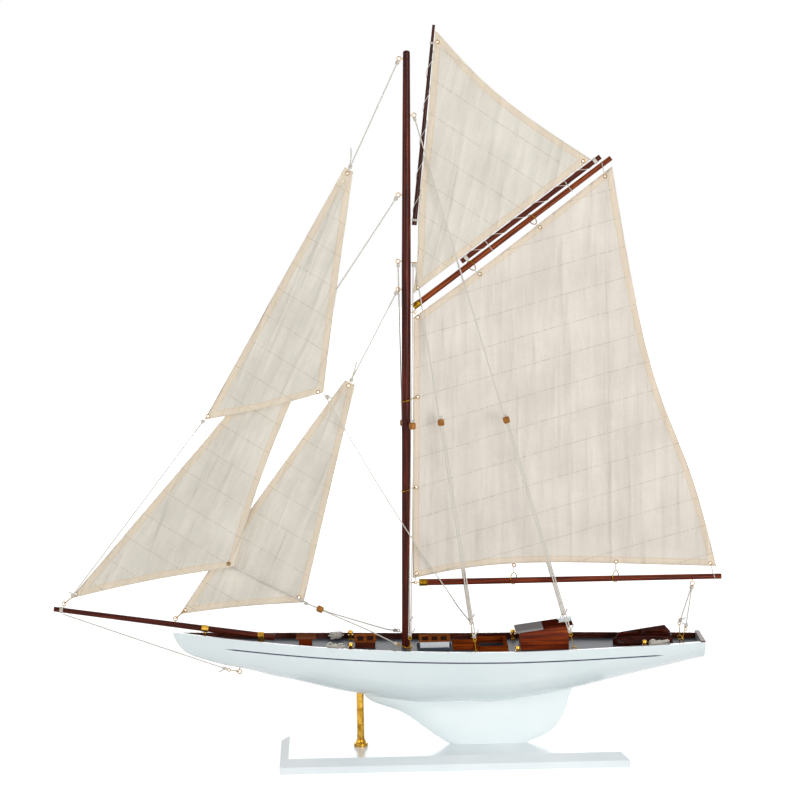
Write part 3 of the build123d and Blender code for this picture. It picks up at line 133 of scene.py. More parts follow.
# Bleached cotton cord: matt and slightly warm, with the dark and light of its twisted
# strands. The real strands are 0.3 mm apart and are drawn at 0.6 mm so that they show.
cotton_cord, shader = new_material("twisted_cotton_cord")
place = add_node(cotton_cord, "TexCoord")
strands = add_node(cotton_cord, "TexNoise", {"Scale": 1 / (0.6 * MM), "Detail": 3.0, "Distortion": 1.5},
                   {"Vector": place.outputs["Object"]})
fluff = add_node(cotton_cord, "TexNoise", {"Scale": 1 / (2.5 * MM), "Detail": 5.0},
                 {"Vector": place.outputs["Object"]})
tone = add_node(cotton_cord, "ValToRGB", links={"Fac": strands.outputs["Fac"]})
tone.color_ramp.elements[0].color = linear("CDC7BB")
tone.color_ramp.elements[1].color = linear("E9E4DA")
worn = add_node(cotton_cord, "MixRGB", {"blend_type": "MULTIPLY", "Fac": 0.12},
                {"Color1": tone.outputs["Color"], "Color2": fluff.outputs["Color"]})
twist = add_node(cotton_cord, "Bump", {"Strength": 0.25, "Distance": 0.1 * MM},
                 {"Height": strands.outputs["Fac"]})
link(cotton_cord, worn.outputs["Color"], shader, "Base Color")
link(cotton_cord, twist.outputs["Normal"], shader, "Normal")
shader.inputs["Roughness"].default_value = 0.9
shader.inputs["Sheen Weight"].default_value = 0.25


def lay_cord(name, points, diameter=CORD):
    """A cord along one smooth spline through the bends of its route."""
    data = bpy.data.curves.new(name, "CURVE")
    data.dimensions = "3D"
    data.bevel_depth = diameter / 2 * MM
    data.bevel_resolution = 3
    data.use_fill_caps = True
    data.resolution_u = 12
    spline = data.splines.new("NURBS")
    spline.points.add(len(points) - 1)
    for place, point in zip(spline.points, points):
        place.co = (*point, 1.0)
    spline.order_u = 3
    spline.use_endpoint_u = True
    data.materials.append(cotton_cord)
    piece = bpy.data.objects.new(name, data)
    bpy.context.scene.collection.objects.link(piece)
    return piece


def run_length(piece):
    """Length of a cord's centreline, and the points along it."""
    bare = bpy.data.objects.new("bare_line", piece.data.copy())
    bare.data.bevel_depth = 0
    bpy.context.scene.collection.objects.link(bare)
    line = bpy.data.meshes.new_from_object(bare.evaluated_get(bpy.context.evaluated_depsgraph_get()))
    bpy.data.objects.remove(bare)
    points = [vertex.co.copy() for vertex in line.vertices]
    bpy.data.meshes.remove(line)
    return sum((b - a).length for a, b in zip(points, points[1:])), points


def wind(name, centre, way, radius, turns, thread, body, pitch=None):
    """Turns of thread wound round a line, from one side of the centre to the other."""
    pitch = pitch or thread * 1.05
    way = way.normalized()
    across = way.orthogonal().normalized()
    third = way.cross(across)
    steps = 14
    points = []
    for i in range(int(turns * steps) + 1):
        angle = 2 * math.pi * i / steps
        shift = (i / steps - turns / 2) * pitch * MM
        outward = across * math.cos(angle) + third * math.sin(angle)
        points.append(centre + way * shift + outward * radius * MM)
    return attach(lay_cord(name, points, thread), body)


def hitch(name, centre, way, body="ship", size=1.15):
    """A small knot: three round turns and one that crosses them."""
    turns = wind(name, centre, way, size, 3, CORD * 0.9, body)
    across = wind(name + "_crossing", centre, way.orthogonal() + way * 0.4, size * 1.1, 1.6, CORD * 0.9,
                  body)
    return [turns, across]


def taut(name, low, high, node, body="ship", slack=0.25):
    """A straight taut line between two fittings, with next to no sag."""
    middle = (low + high) / 2 - upright * slack * MM
    piece = lay_cord(name, [low, middle, high])
    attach(piece, body)
    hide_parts(node)
    length = run_length(piece)[0]
    return piece


def tail(name, start, way, length, body="ship"):
    """The short free end of a knotted cord, which stands out with a slight sideways bend."""
    side = way.normalized() * length * MM
    bend = start + side * 0.6 + Vector((0.8, -1.0, 0)) * MM
    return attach(lay_cord(name, [start, start + side * 0.3, bend, start + side]), body)


# Halyards, from the head of each headsail to its eye on the mast
FLYING_HEAD = ship(-83.4, -3.0, 517.15)
JIB_HEAD = ship(-99.6, -1.0, 407.35)
STAYSAIL_HEAD = ship(-86.1, 0.0, 328.8)
for name, head, eye, tail_way in (
    ("flying_jib_halyard", FLYING_HEAD, ship(-37.75, 0, 612.9), Vector((0.05, -0.1, 1))),
    ("jib_halyard", JIB_HEAD, ship(-40.5, 0, 493.9), None),
    ("staysail_halyard", STAYSAIL_HEAD, ship(-42.2, 0, 410.6), Vector((0.3, -0.1, 1))),
):
    way = (eye - head).normalized()
    low = head + way * 0.6 * MM
    high = eye - way * 2.35 * MM
    extras = hitch(name + "_head_hitch", head + way * 2.4 * MM, way)
    extras += hitch(name + "_mast_hitch", high - way * 1.5 * MM, way)
    if tail_way:
        extras.append(tail(name + "_tail", head + way * 2.4 * MM, tail_way, 17.0))
    taut(name, low, high, "headsail_halyards")

# Tack pendant of the flying jib, and the bobstay under the bowsprit
PENDANT_FOOT = ship(-337.4, -1.5, 142.2)
PENDANT_TOP = ship(-215.7, -3.0, 298.5)
way = (PENDANT_TOP - PENDANT_FOOT).normalized()
extras = hitch("pendant_foot_hitch", PENDANT_FOOT + way * MM, way)
extras += hitch("pendant_top_hitch", PENDANT_TOP - way * 2.0 * MM, way)
extras.append(tail("pendant_tail", PENDANT_FOOT + way * MM, Vector((-0.6, -0.3, 0.7)), 5.0))
taut("flying_jib_pendant", PENDANT_FOOT, PENDANT_TOP - way * CORD * MM, "headsail_halyards")
BOBSTAY_TOP = ship(-346.2, 0, 125.8)
BOBSTAY_RING = ship(-199.4, 0, 72.0)
way = (BOBSTAY_TOP - BOBSTAY_RING).normalized()
bobstay_low = BOBSTAY_RING + way * RING_CLEAR * MM
extras = [wind("bobstay_seizing", bobstay_low + way * 2.2 * MM, way, 1.0, 4, 0.8, "ship")]
extras.append(tail("bobstay_tail", bobstay_low + way * 2.0 * MM, Vector((-0.8, -0.5, -0.3)), 7.0))
taut("bobstay", bobstay_low, BOBSTAY_TOP, "headsail_halyards")
wind("bowsprit_whipping", ship(-347.3, 0, 129.56), Vector((0.988, 0, -0.151)), 2.55, 4, 0.75, "ship")

# Sheets of the headsails: both run aft through one bead to the eyes beside the mast
for name, points in (
    ("jib_sheet", [(-191.6, -8.9, 166.5), (-160, -6.3, 148.8), (-121.6, -2.95, 128.1),
                   (-112.0, -2.95, 123.5), (-92.0, -5.9, 115.0), (-74.6, -8.7, 107.4),
                   (-70.4, -10.7, 105.7), (-60.0, -18.7, 101.8), (-49.3, -26.9, 97.8)]),
    ("staysail_sheet", [(-130.5, -1.0, 131.8), (-121.6, -1.05, 128.1), (-112.0, -1.05, 123.5),
                        (-84.0, 11.5, 112.0), (-58.5, 22.9, 101.6), (-54.0, 24.9, 100.2),
                        (-48.3, 27.3, 99.2)]),
):
    points = [ship(*point) for point in points]
    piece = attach(lay_cord(name, points), "ship")
    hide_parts("headsail_sheets")
    way = points[-2] - points[-1]
    extras = hitch(name + "_foot_hitch", points[-1] + way.normalized() * 1.2 * MM, way)
    extras += hitch(name + "_clew_hitch", points[0] + (points[1] - points[0]).normalized() * 1.2 * MM,
                    points[1] - points[0])
    length = run_length(piece)[0]

points = [ship(*point) for point in (
    (-109.2, -13.9, 320.9), (-72.0, -10.2, 253.0), (-35.2, -6.5, 190.9), (-8.6, -6.6, 149.5),
    (0.0, -4.5, 136.5), (8.0, 15.0, 120.5), (17.6, 36.0, 105.6))]
flying_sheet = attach(lay_cord("flying_jib_sheet_line", points), "ship")
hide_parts("flying_jib_sheet")
extras = hitch("flying_jib_clew_hitch", points[0] + Vector((3.0, 0, -3.0)) * MM, Vector((1, 0, -1)),
               size=1.5)
extras.append(tail("flying_jib_clew_tail", points[0] + Vector((3.0, 0, -3.0)) * MM, Vector((1, -0.4, -0.2)),
                   6.0))
run_length(flying_sheet)[0]

# Shrouds, backstays and halyards down each side: ring on its hook, top, and the bead's place
# as a share of the line's length from the top
STOPPER = 1.4
BEAD_HALF = 3.0
for side_name, side in (("port", -1), ("starboard", 1)):
    halyard_top = (-28.38, -1.9, 433.65) if side < 0 else (-41.76, 0.9, 433.15)
    for kind, ring, high, share in (
        ("shroud", (19.5, side * 38.0, 102.3), (-26.68, side * 1.9, 433.65), 0.425),
        ("backstay", (104.6, side * 37.0, 104.9), (-25.22, side * 2.2, 561.6), 0.585),
        ("halyard", (-37.5, side * 28.0, 103.0), halyard_top, 0.435),
    ):
        name = f"{kind}_{side_name}"
        low = ship(*ring)
        high = ship(*high)
        way = (high + Vector((LEG_SPREAD * MM, 0, 0)) - low).normalized()
        aft = Vector((1, 0, 0))
        offset = (aft - way * aft.dot(way)).normalized() * LEG_SPREAD * MM
        foot = low + way * RING_CLEAR * MM
        length = (high - foot).dot(way)
        bead = foot + way * length * (1 - share)
        over = bead + way * (BEAD_HALF + 0.5) * MM + offset
        hauling = lay_cord(name + "_hauling_leg", [foot + offset, (foot + bead) / 2 + offset,
                                                   over + way * STOPPER * MM])
        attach(hauling, "ship")
        extras = [hauling, wind(name + "_seizing", foot + way * 1.8 * MM, way, 1.45, 3, 0.85, "ship")]
        extras += hitch(name + "_stopper", over + way * 0.7 * MM, way, size=0.75)
        extras += hitch(name + "_top_hitch", foot + way * (length - 1.6 * MM) - offset, way, size=0.9)
        extras.append(tail(name + "_tail", foot + way * 2.4 * MM + offset, way + Vector((0.7, -0.2, 0)),
                           6.0))
        taut(name, foot - offset, foot + way * length - offset, "rigging_" + side_name,
             slack=0.1)

# Mainsheet: two falls from the boom's eye to hooks on deck.
BOOM_SHEET_EYE = Vector((216.4, 0, 139.6))
for name, side, ring in (("port", -1, (209.6, -7.0, 102.0)), ("starboard", 1, (205.6, 7.0, 104.2))):
    high = ship(BOOM_SHEET_EYE.x, side * 0.8, BOOM_SHEET_EYE.z)
    low = ship(*ring)
    low += (high - low).normalized() * RING_CLEAR * MM
    middle = (low + high) / 2 - upright * 0.1 * MM
    route = lay_cord("mainsheet_route", [low, middle, high])
    length, path = run_length(route)
    tube = bpy.data.meshes.new_from_object(route.evaluated_get(bpy.context.evaluated_depsgraph_get()))
    bpy.data.objects.remove(route)
    piece = bpy.data.objects.new(f"mainsheet_{name}", tube)
    bpy.context.scene.collection.objects.link(piece)
    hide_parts("mainsheet")
    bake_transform(piece)
    way = high - low
    extras = hitch(f"mainsheet_{name}_foot_hitch", low + way.normalized() * 1.5 * MM, way)
    extras.append(tail(f"mainsheet_{name}_tail", low + way.normalized() * 2 * MM, Vector((side, -0.3, 0.5)),
                       5.0))
    extras += hitch(f"mainsheet_{name}_top_hitch", high - way.normalized() * 1.5 * MM, way,
                    "boom_and_mainsail")


# Rope hanks on deck: the spare end of a halyard, coiled long and bound round its middle
def hank(name, node, x, y, long, turn, seed):
    """One rope in eight loose turns, bound round its middle."""
    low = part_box(node)[0]
    dice = random.Random(seed)
    direction = Matrix.Rotation(math.radians(turn), 3, "Z")
    # where each strand lies across the hank, in cord diameters aside and up
    rows = [(0, 0), (1, 0.2), (0.3, 1.2), (1.2, 1.4), (0.2, 2.3), (1.0, 2.7), (0.4, 3.5), (0.9, 4.2)]
    points = []
    for aside, up in rows:
        reach = long / 2 - 1.0 - 0.8 * aside - dice.uniform(0, 3.2)
        step = 1.08 * CORD
        z = 0.5 + up * step
        tilt = dice.uniform(-0.3, 2.0)
        swing = Matrix.Rotation(math.radians(dice.uniform(-8, 8)), 3, "Z")
        pinch = 0.55 + aside * step * 0.7
        wide = 1.5 + aside * step * 0.9 + dice.uniform(0, 0.5)
        loop = [
            (-2.5, -pinch, z), (2.5, -pinch, z), (reach * 0.62, -wide, z + tilt),
            (reach, -wide * 0.8, z + tilt),
            (reach + 0.9, 0, z + tilt), (reach, wide * 0.8, z), (reach * 0.62, wide, z), (2.5, pinch, z),
            (-2.5, pinch, z), (-reach * 0.62, wide, z + tilt), (-reach, wide * 0.8, z + tilt),
            (-reach - 0.9, 0, z), (-reach, -wide * 0.8, z), (-reach * 0.62, -wide, z + step * 0.3),
        ]
        points += [swing @ Vector(point) for point in loop]
    placed = []
    for px, py, pz in points:
        turned = direction @ Vector((px, py, 0))
        placed.append(Vector((x, y, 0)) * MM + turned * MM + Vector((0, 0, low.z + 1.2 * MM + pz * MM)))
    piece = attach(lay_cord(name, placed), "ship")
    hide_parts(node)
    binding = Vector((x * MM, y * MM, low.z + 4.4 * MM))
    wind(name + "_binding", binding, direction @ Vector((1, 0, 0)), 2.9, 4, CORD, "ship")
    knot = binding + Vector((0, -1.0, 2.2)) * MM
    wind(name + "_knot", knot, Vector((0.2, 1, 0.3)), 0.9, 2.5, CORD, "ship")


for name, node, x, y, long, turn, seed in (
    ("fore_hank_port", "hank_fore_port", -103.8, -26.6, 20.0, -9.0, 3),
    ("fore_hank_starboard", "hank_fore_starboard", -103.0, 26.6, 14.5, 9.0, 5),
    ("aft_hank_port", "hank_aft_port", 184.5, -21.3, 19.5, 8.0, 8),
):
    hank(name, node, x, y, long, turn, seed)


# ---------------------------------------------------------------- floor, backdrop and light
# A plain white studio table in a white world, under four large soft lamps.
FLOOR_SIZE = 9.0
floor_mesh = bpy.data.meshes.new("floor")
half = FLOOR_SIZE / 2
floor_mesh.from_pydata([(-half, -half, 0), (half, -half, 0), (half, half, 0), (-half, half, 0)], [],
                       [(0, 1, 2, 3)])
floor = bpy.data.objects.new("floor", floor_mesh)
bpy.context.scene.collection.objects.link(floor)
# Matt white paper, lifted to the white of the background wherever no shadow falls on it
white_paper, shader = new_material("matt_white_paper")
shader.inputs["Base Color"].default_value = linear("FFFFFF")
shader.inputs["Roughness"].default_value = 1.0
rays = add_node(white_paper, "LightPath")
shown = add_node(white_paper, "Math", {"operation": "MAXIMUM"}, {0: rays.outputs["Is Camera Ray"],
                 1: rays.outputs["Is Glossy Ray"]})
place = add_node(white_paper, "TexCoord")
reach = add_node(white_paper, "VectorMath", {"operation": "LENGTH"}, {0: place.outputs["Object"]})
paleness = add_node(white_paper, "MapRange",
                    {"From Min": 0.35, "From Max": 1.6, "To Min": 0.6, "To Max": 1.0},
                    {"Value": reach.outputs["Value"]})
lift = add_node(white_paper, "Math", {"operation": "MULTIPLY"},
                {0: shown.outputs[0], 1: paleness.outputs[0]})
shader.inputs["Emission Color"].default_value = (1, 1, 1, 1)
link(white_paper, lift.outputs[0], shader, "Emission Strength")
floor_mesh.materials.append(white_paper)

world = bpy.data.worlds.new("studio")
bpy.context.scene.world = world
world.use_nodes = True
background = world.node_tree.nodes["Background"]
rays = world.node_tree.nodes.new("ShaderNodeLightPath")
seen = world.node_tree.nodes.new("ShaderNodeMath")
seen.operation = "MAXIMUM"
strength = world.node_tree.nodes.new("ShaderNodeMapRange")
strength.inputs["To Min"].default_value = 0.32
strength.inputs["To Max"].default_value = 1.0
world.node_tree.links.new(rays.outputs["Is Camera Ray"], seen.inputs[0])
world.node_tree.links.new(rays.outputs["Is Glossy Ray"], seen.inputs[1])
world.node_tree.links.new(seen.outputs[0], strength.inputs["Value"])
world.node_tree.links.new(strength.outputs[0], background.inputs["Strength"])
background.inputs["Color"].default_value = (1, 1, 1, 1)

for name, spot, size, watts in (
    ("key_lamp", (-2.0, -1.5, 0.8), 1.0, 10.0),
    ("fill_lamp", (1.0, -2.4, 0.22), 1.4, 50.0),
    ("top_lamp", (0.6, -0.3, 2.1), 1.4, 1.0),
    ("back_lamp", (0.2, 2.2, 0.4), 1.6, 14.0),
):
    lamp_data = bpy.data.lights.new(name, "AREA")
    lamp_data.size = size
    lamp_data.energy = watts
    lamp = bpy.data.objects.new(name, lamp_data)
    bpy.context.scene.collection.objects.link(lamp)
    lamp.location = spot
    aim = Vector((0, 0, 0.3)) - lamp.location
    lamp.rotation_euler = aim.to_track_quat("-Z", "Y").to_euler()


# ---------------------------------------------------------------- display base
# A bevelled board, sprayed with cool white satin paint. Two screws go up into the keel and
# one into the column.
# Sprayed satin paint: cool white, smooth, with a trace of wood grain under it
base_paint, shader = new_material("satin_white_spray_paint_on_wood")
place = add_node(base_paint, "TexCoord")
stretch = add_node(base_paint, "Mapping", {"Scale": (1 / (60 * MM), 1 / (3 * MM), 1 / (3 * MM))},
                   {"Vector": place.outputs["Object"]})
grain = add_node(base_paint, "TexNoise", {"Scale": 1.0, "Detail": 4.0},
                 {"Vector": stretch.outputs["Vector"]})
cloud = add_node(base_paint, "TexNoise", {"Scale": 1 / (70 * MM), "Detail": 3.0},
                 {"Vector": place.outputs["Object"]})
tone = add_node(base_paint, "ValToRGB", links={"Fac": cloud.outputs["Fac"]})
tone.color_ramp.elements[0].color = linear("E6EEF1")
tone.color_ramp.elements[0].position = 0.3
tone.color_ramp.elements[1].color = linear("F3F8FA")
tone.color_ramp.elements[1].position = 0.7
relief = add_node(base_paint, "Bump", {"Strength": 0.12, "Distance": 0.05 * MM},
                  {"Height": grain.outputs["Fac"]})
link(base_paint, tone.outputs["Color"], shader, "Base Color")
link(base_paint, relief.outputs["Normal"], shader, "Normal")
shader.inputs["Roughness"].default_value = 0.32
shader.inputs["Coat Weight"].default_value = 0.3
shader.inputs["Coat Roughness"].default_value = 0.15
paint(base_paint, "base_board")

# Zinc-plated steel: cool grey, brushed by the tool that seats it
zinc_steel, shader = new_material("zinc_plated_steel")
place = add_node(zinc_steel, "TexCoord")
scuff = add_node(zinc_steel, "TexNoise", {"Scale": 1 / (0.8 * MM), "Detail": 6.0},
                 {"Vector": place.outputs["Object"]})
tone = add_node(zinc_steel, "ValToRGB", links={"Fac": scuff.outputs["Fac"]})
tone.color_ramp.elements[0].color = linear("8F9396")
tone.color_ramp.elements[1].color = linear("C9CCCE")
link(zinc_steel, tone.outputs["Color"], shader, "Base Color")
shader.inputs["Metallic"].default_value = 1.0
shader.inputs["Roughness"].default_value = 0.35
paint(zinc_steel, "stand_screws")


# ---------------------------------------------------------------- brass stand and deck fittings
# Turned brass: the column with its flared collar, the bollards, the gammon iron and the
# strap over the bowsprit's heel.
# Polished brass: warm yellow mirror, gone a little brown where fingers don't reach
polished_brass, shader = new_material("polished_turned_brass")
place = add_node(polished_brass, "TexCoord")
tarnish = add_node(polished_brass, "TexNoise", {"Scale": 1 / (5 * MM), "Detail": 5.0},
                   {"Vector": place.outputs["Object"]})
tone = add_node(polished_brass, "ValToRGB", links={"Fac": tarnish.outputs["Fac"]})
tone.color_ramp.elements[0].color = linear("9C6F1E")
tone.color_ramp.elements[0].position = 0.35
tone.color_ramp.elements[1].color = linear("D6A845")
tone.color_ramp.elements[1].position = 0.62
stretch = add_node(polished_brass, "Mapping", {"Scale": (1 / (12 * MM), 1 / (12 * MM), 1 / (0.5 * MM))},
                   {"Vector": place.outputs["Object"]})
turning = add_node(polished_brass, "TexNoise", {"Scale": 1.0, "Detail": 3.0},
                   {"Vector": stretch.outputs["Vector"]})
dull = add_node(polished_brass, "MapRange", {"To Min": 0.14, "To Max": 0.34},
                {"Value": tarnish.outputs["Fac"]})
relief = add_node(polished_brass, "Bump", {"Strength": 0.15, "Distance": 0.03 * MM},
                  {"Height": turning.outputs["Fac"]})
link(polished_brass, tone.outputs["Color"], shader, "Base Color")
link(polished_brass, dull.outputs[0], shader, "Roughness")
link(polished_brass, relief.outputs["Normal"], shader, "Normal")
shader.inputs["Metallic"].default_value = 1.0
paint(polished_brass, "stand_column", "column_collar", "bollards", "gammon_iron", "heel_strap")


# ---------------------------------------------------------------- hull and keel
# Carved wood under many coats of white gloss lacquer, with one thin dark-blue line drawn
# a centimetre under the rail on each side, and fading out towards bow and stern.
SHEER_LOW_X = 60.0
SHEER_LOW = 92.0 + BASE_TOP
BOW_RISE, BOW_RUN, BOW_POWER = 15.4, 308.5, 1.8
STERN_RISE, STERN_RUN = 1.0, 165.5
LINE_DROP = 9.8
LINE_HALF = 0.7
LINE_ENDS = (-203.0, 189.0)


def gloss_lacquer(name, stripe, shade="DDE9EB", bright="E9F2F3"):
    """White gloss lacquer: hard bright reflections over a surface with a faint ripple."""
    lacquer, shader = new_material(name)
    place = add_node(lacquer, "TexCoord")
    cloud = add_node(lacquer, "TexNoise", {"Scale": 1 / (90 * MM), "Detail": 3.0},
                     {"Vector": place.outputs["Object"]})
    tone = add_node(lacquer, "ValToRGB", links={"Fac": cloud.outputs["Fac"]})
    tone.color_ramp.elements[0].color = linear(shade)
    tone.color_ramp.elements[0].position = 0.3
    tone.color_ramp.elements[1].color = linear(bright)
    tone.color_ramp.elements[1].position = 0.7
    stretch = add_node(lacquer, "Mapping", {"Scale": (1 / (40 * MM), 1 / (9 * MM), 1 / (9 * MM))},
                       {"Vector": place.outputs["Object"]})
    ripple = add_node(lacquer, "TexNoise", {"Scale": 1.0, "Detail": 3.0},
                      {"Vector": stretch.outputs["Vector"]})
    relief = add_node(lacquer, "Bump", {"Strength": 0.2, "Distance": 0.12 * MM},
                      {"Height": ripple.outputs["Fac"]})
    link(lacquer, relief.outputs["Normal"], shader, "Normal")
    shader.inputs["Roughness"].default_value = 0.22
    shader.inputs["Coat Weight"].default_value = 0.7
    shader.inputs["Coat Roughness"].default_value = 0.06
    if not stripe:
        link(lacquer, tone.outputs["Color"], shader, "Base Color")
        return lacquer
    parts = add_node(lacquer, "SeparateXYZ", links={"Vector": place.outputs["Object"]})

    def sum_of(operation, a, b, clamp=False):
        """One step of the line's arithmetic, on sockets or plain numbers."""
        made = add_node(lacquer, "Math", {"operation": operation, "use_clamp": clamp})
        for index, value in enumerate((a, b)):
            if isinstance(value, (int, float)):
                made.inputs[index].default_value = value
            else:
                lacquer.node_tree.links.new(value, made.inputs[index])
        return made.outputs[0]

    x = sum_of("MULTIPLY", parts.outputs["X"], 1 / MM)
    z = sum_of("MULTIPLY", parts.outputs["Z"], 1 / MM)
    to_bow = sum_of("MULTIPLY", sum_of("SUBTRACT", SHEER_LOW_X, x), 1 / BOW_RUN, True)
    to_stern = sum_of("MULTIPLY", sum_of("SUBTRACT", x, SHEER_LOW_X), 1 / STERN_RUN, True)
    bow = sum_of("MULTIPLY", sum_of("POWER", to_bow, BOW_POWER), BOW_RISE)
    stern = sum_of("MULTIPLY", sum_of("POWER", to_stern, 2.0), STERN_RISE)
    line = sum_of("ADD", sum_of("ADD", bow, stern), SHEER_LOW - LINE_DROP)
    away = sum_of("ABSOLUTE", sum_of("SUBTRACT", z, line), 0)
    from_bow = sum_of("MULTIPLY", sum_of("SUBTRACT", x, LINE_ENDS[0]), 1 / 9, True)
    from_stern = sum_of("MULTIPLY", sum_of("SUBTRACT", LINE_ENDS[1], x), 1 / 9, True)
    width = sum_of("MULTIPLY", sum_of("MULTIPLY", from_bow, from_stern), LINE_HALF)
    inside = sum_of("MULTIPLY", sum_of("SUBTRACT", width, away), 8.0, True)
    lined = add_node(lacquer, "MixRGB", {"Color2": linear("27304C")},
                     {"Fac": inside, "Color1": tone.outputs["Color"]})
    link(lacquer, lined.outputs["Color"], shader, "Base Color")
    return lacquer


paint(gloss_lacquer("white_gloss_lacquer_with_blue_line", True), "hull")
# painted light: the keel fin gets a lighter copy of the hull's white lacquer, standing in for the stronger
# light on its upright faces
paint(gloss_lacquer("white_gloss_lacquer", False, "EAF4F5", "F4FAFA"), "keel_fin")


# ---------------------------------------------------------------- deck, linings and rail
# A painted deck let into the hull, with stained strips round the inside of its bulwarks
# and a plain wooden cap across the stern.
# Slate-grey enamel: brushed on along the ship, glossy, with fine streaks
slate_enamel, shader = new_material("slate_grey_gloss_enamel")
place = add_node(slate_enamel, "TexCoord")
stretch = add_node(slate_enamel, "Mapping", {"Scale": (1 / (45 * MM), 1 / (1.4 * MM), 1 / (1.4 * MM))},
                   {"Vector": place.outputs["Object"]})
streak = add_node(slate_enamel, "TexNoise", {"Scale": 1.0, "Detail": 5.0},
                  {"Vector": stretch.outputs["Vector"]})
tone = add_node(slate_enamel, "ValToRGB", links={"Fac": streak.outputs["Fac"]})
tone.color_ramp.elements[0].color = linear("353B44")
tone.color_ramp.elements[0].position = 0.3
tone.color_ramp.elements[1].color = linear("4B525C")
tone.color_ramp.elements[1].position = 0.75
relief = add_node(slate_enamel, "Bump", {"Strength": 0.25, "Distance": 0.05 * MM},
                  {"Height": streak.outputs["Fac"]})
link(slate_enamel, tone.outputs["Color"], shader, "Base Color")
link(slate_enamel, relief.outputs["Normal"], shader, "Normal")
shader.inputs["Roughness"].default_value = 0.45
shader.inputs["Specular IOR Level"].default_value = 0.2
paint(slate_enamel, "deck")


def varnished_wood(name, dark, middle, light, tilt=0.0, pore=0.4, gloss=0.24, turn=0.0, coat=0.1,
                   specular=0.08):
    """Varnished wood: long darker and lighter bands with short open pores along the grain,
    under a clear coat. tilt turns the grain from along the ship up towards the mast, and
    coat and specular take its shine away where the wood is bare."""
    wood, shader = new_material(name)
    place = add_node(wood, "TexCoord")
    lie = add_node(wood, "Mapping", {"Rotation": (0, tilt, turn)}, {"Vector": place.outputs["Object"]})
    long = add_node(wood, "Mapping", {"Scale": (1 / (40 * MM), 1 / (1.8 * MM), 1 / (1.8 * MM))},
                    {"Vector": lie.outputs["Vector"]})
    bands = add_node(wood, "TexNoise", {"Scale": 1.0, "Detail": 4.0, "Distortion": 0.4},
                     {"Vector": long.outputs["Vector"]})
    tone = add_node(wood, "ValToRGB", links={"Fac": bands.outputs["Fac"]})
    tone.color_ramp.elements[0].color = linear(dark)
    tone.color_ramp.elements[0].position = 0.3
    tone.color_ramp.elements[1].color = linear(light)
    tone.color_ramp.elements[1].position = 0.74
    tone.color_ramp.elements.new(0.5).color = linear(middle)
    fine = add_node(wood, "Mapping", {"Scale": (1 / (5 * MM), 1 / (pore * MM), 1 / (pore * MM))},
                    {"Vector": lie.outputs["Vector"]})
    pores = add_node(wood, "TexNoise", {"Scale": 1.0, "Detail": 2.0}, {"Vector": fine.outputs["Vector"]})
    open_pores = add_node(wood, "MapRange", {"From Min": 0.56, "From Max": 0.7, "To Max": 0.65},
                          {"Value": pores.outputs["Fac"]})
    stained = add_node(wood, "MixRGB", {"Color2": linear(dark)},
                       {"Fac": open_pores.outputs[0], "Color1": tone.outputs["Color"]})
    relief = add_node(wood, "Bump", {"Strength": 0.35, "Distance": 0.06 * MM, "invert": True},
                      {"Height": pores.outputs["Fac"]})
    link(wood, stained.outputs["Color"], shader, "Base Color")
    link(wood, relief.outputs["Normal"], shader, "Normal")
    shader.inputs["Roughness"].default_value = gloss + 0.16
    shader.inputs["Specular IOR Level"].default_value = specular
    shader.inputs["Coat Weight"].default_value = coat
    shader.inputs["Coat Roughness"].default_value = gloss * 0.5
    return wood


# Red-brown stained bulwark strips, and the greyer end grain of the stern's cap
paint(varnished_wood("red_brown_stained_strip", "32140D", "4B2116", "6C3524"), "bulwark_linings")
paint(varnished_wood("weathered_walnut_cap", "4B3A31", "655048", "7E675B", turn=math.pi / 2), "transom_rail")


# ---------------------------------------------------------------- hatches, skylights, deckhouse
# Small joinery glued to the deck: orange-brown mahogany boxes under lids and roofs of a
# plainer wood. The big skylight's base is grey up to a height and near-white above it.
HOUSE_PLANK = 4.5
ROOF_JOINT_X = 81.7

orange_mahogany = varnished_wood("orange_brown_mahogany", "541D08", "8A3B12", "AD561F", coat=0.0,
                                 specular=0.0)
paint(orange_mahogany, "cockpit_coaming")
joinery_brown = varnished_wood("red_brown_joinery", "34130A", "54220F", "6E3016")

# Deckhouse sides: the same mahogany in planks, with a dark joint every few millimetres
planked = varnished_wood("planked_mahogany_sides", "4A1404", "86300A", "B25218")
shader = planked.node_tree.nodes["Principled BSDF"]
grain_colour = shader.inputs["Base Color"].links[0].from_socket
place = add_node(planked, "TexCoord")
parts = add_node(planked, "SeparateXYZ", links={"Vector": place.outputs["Object"]})
count = add_node(planked, "Math", {"operation": "MULTIPLY", 1: 1 / (HOUSE_PLANK * MM)},
                 {0: parts.outputs["Z"]})
within = add_node(planked, "Math", {"operation": "FRACT"}, {0: count.outputs[0]})
joint = add_node(planked, "Math", {"operation": "LESS_THAN", 1: 0.09}, {0: within.outputs[0]})
jointed = add_node(planked, "MixRGB", {"Color2": linear("1E0B06")},
                   {"Fac": joint.outputs[0], "Color1": grain_colour})
link(planked, jointed.outputs["Color"], shader, "Base Color")
paint(planked, "deckhouse")

# Roof of the deckhouse: its fore half painted grey, its aft half bare brown wood
roof_wood = varnished_wood("half_painted_roof_board", "3A1408", "561E0F", "6E2C18", coat=0.0, specular=0.0)
shader = roof_wood.node_tree.nodes["Principled BSDF"]
grain_colour = shader.inputs["Base Color"].links[0].from_socket
place = add_node(roof_wood, "TexCoord")
parts = add_node(roof_wood, "SeparateXYZ", links={"Vector": place.outputs["Object"]})
fore = add_node(roof_wood, "Math", {"operation": "LESS_THAN", 1: ROOF_JOINT_X * MM}, {0: parts.outputs["X"]})
halves = add_node(roof_wood, "MixRGB", {"Color2": linear("9A9696")},
                  {"Fac": fore.outputs[0], "Color1": grain_colour})
link(roof_wood, halves.outputs["Color"], shader, "Base Color")
paint(roof_wood, "deckhouse_roof")
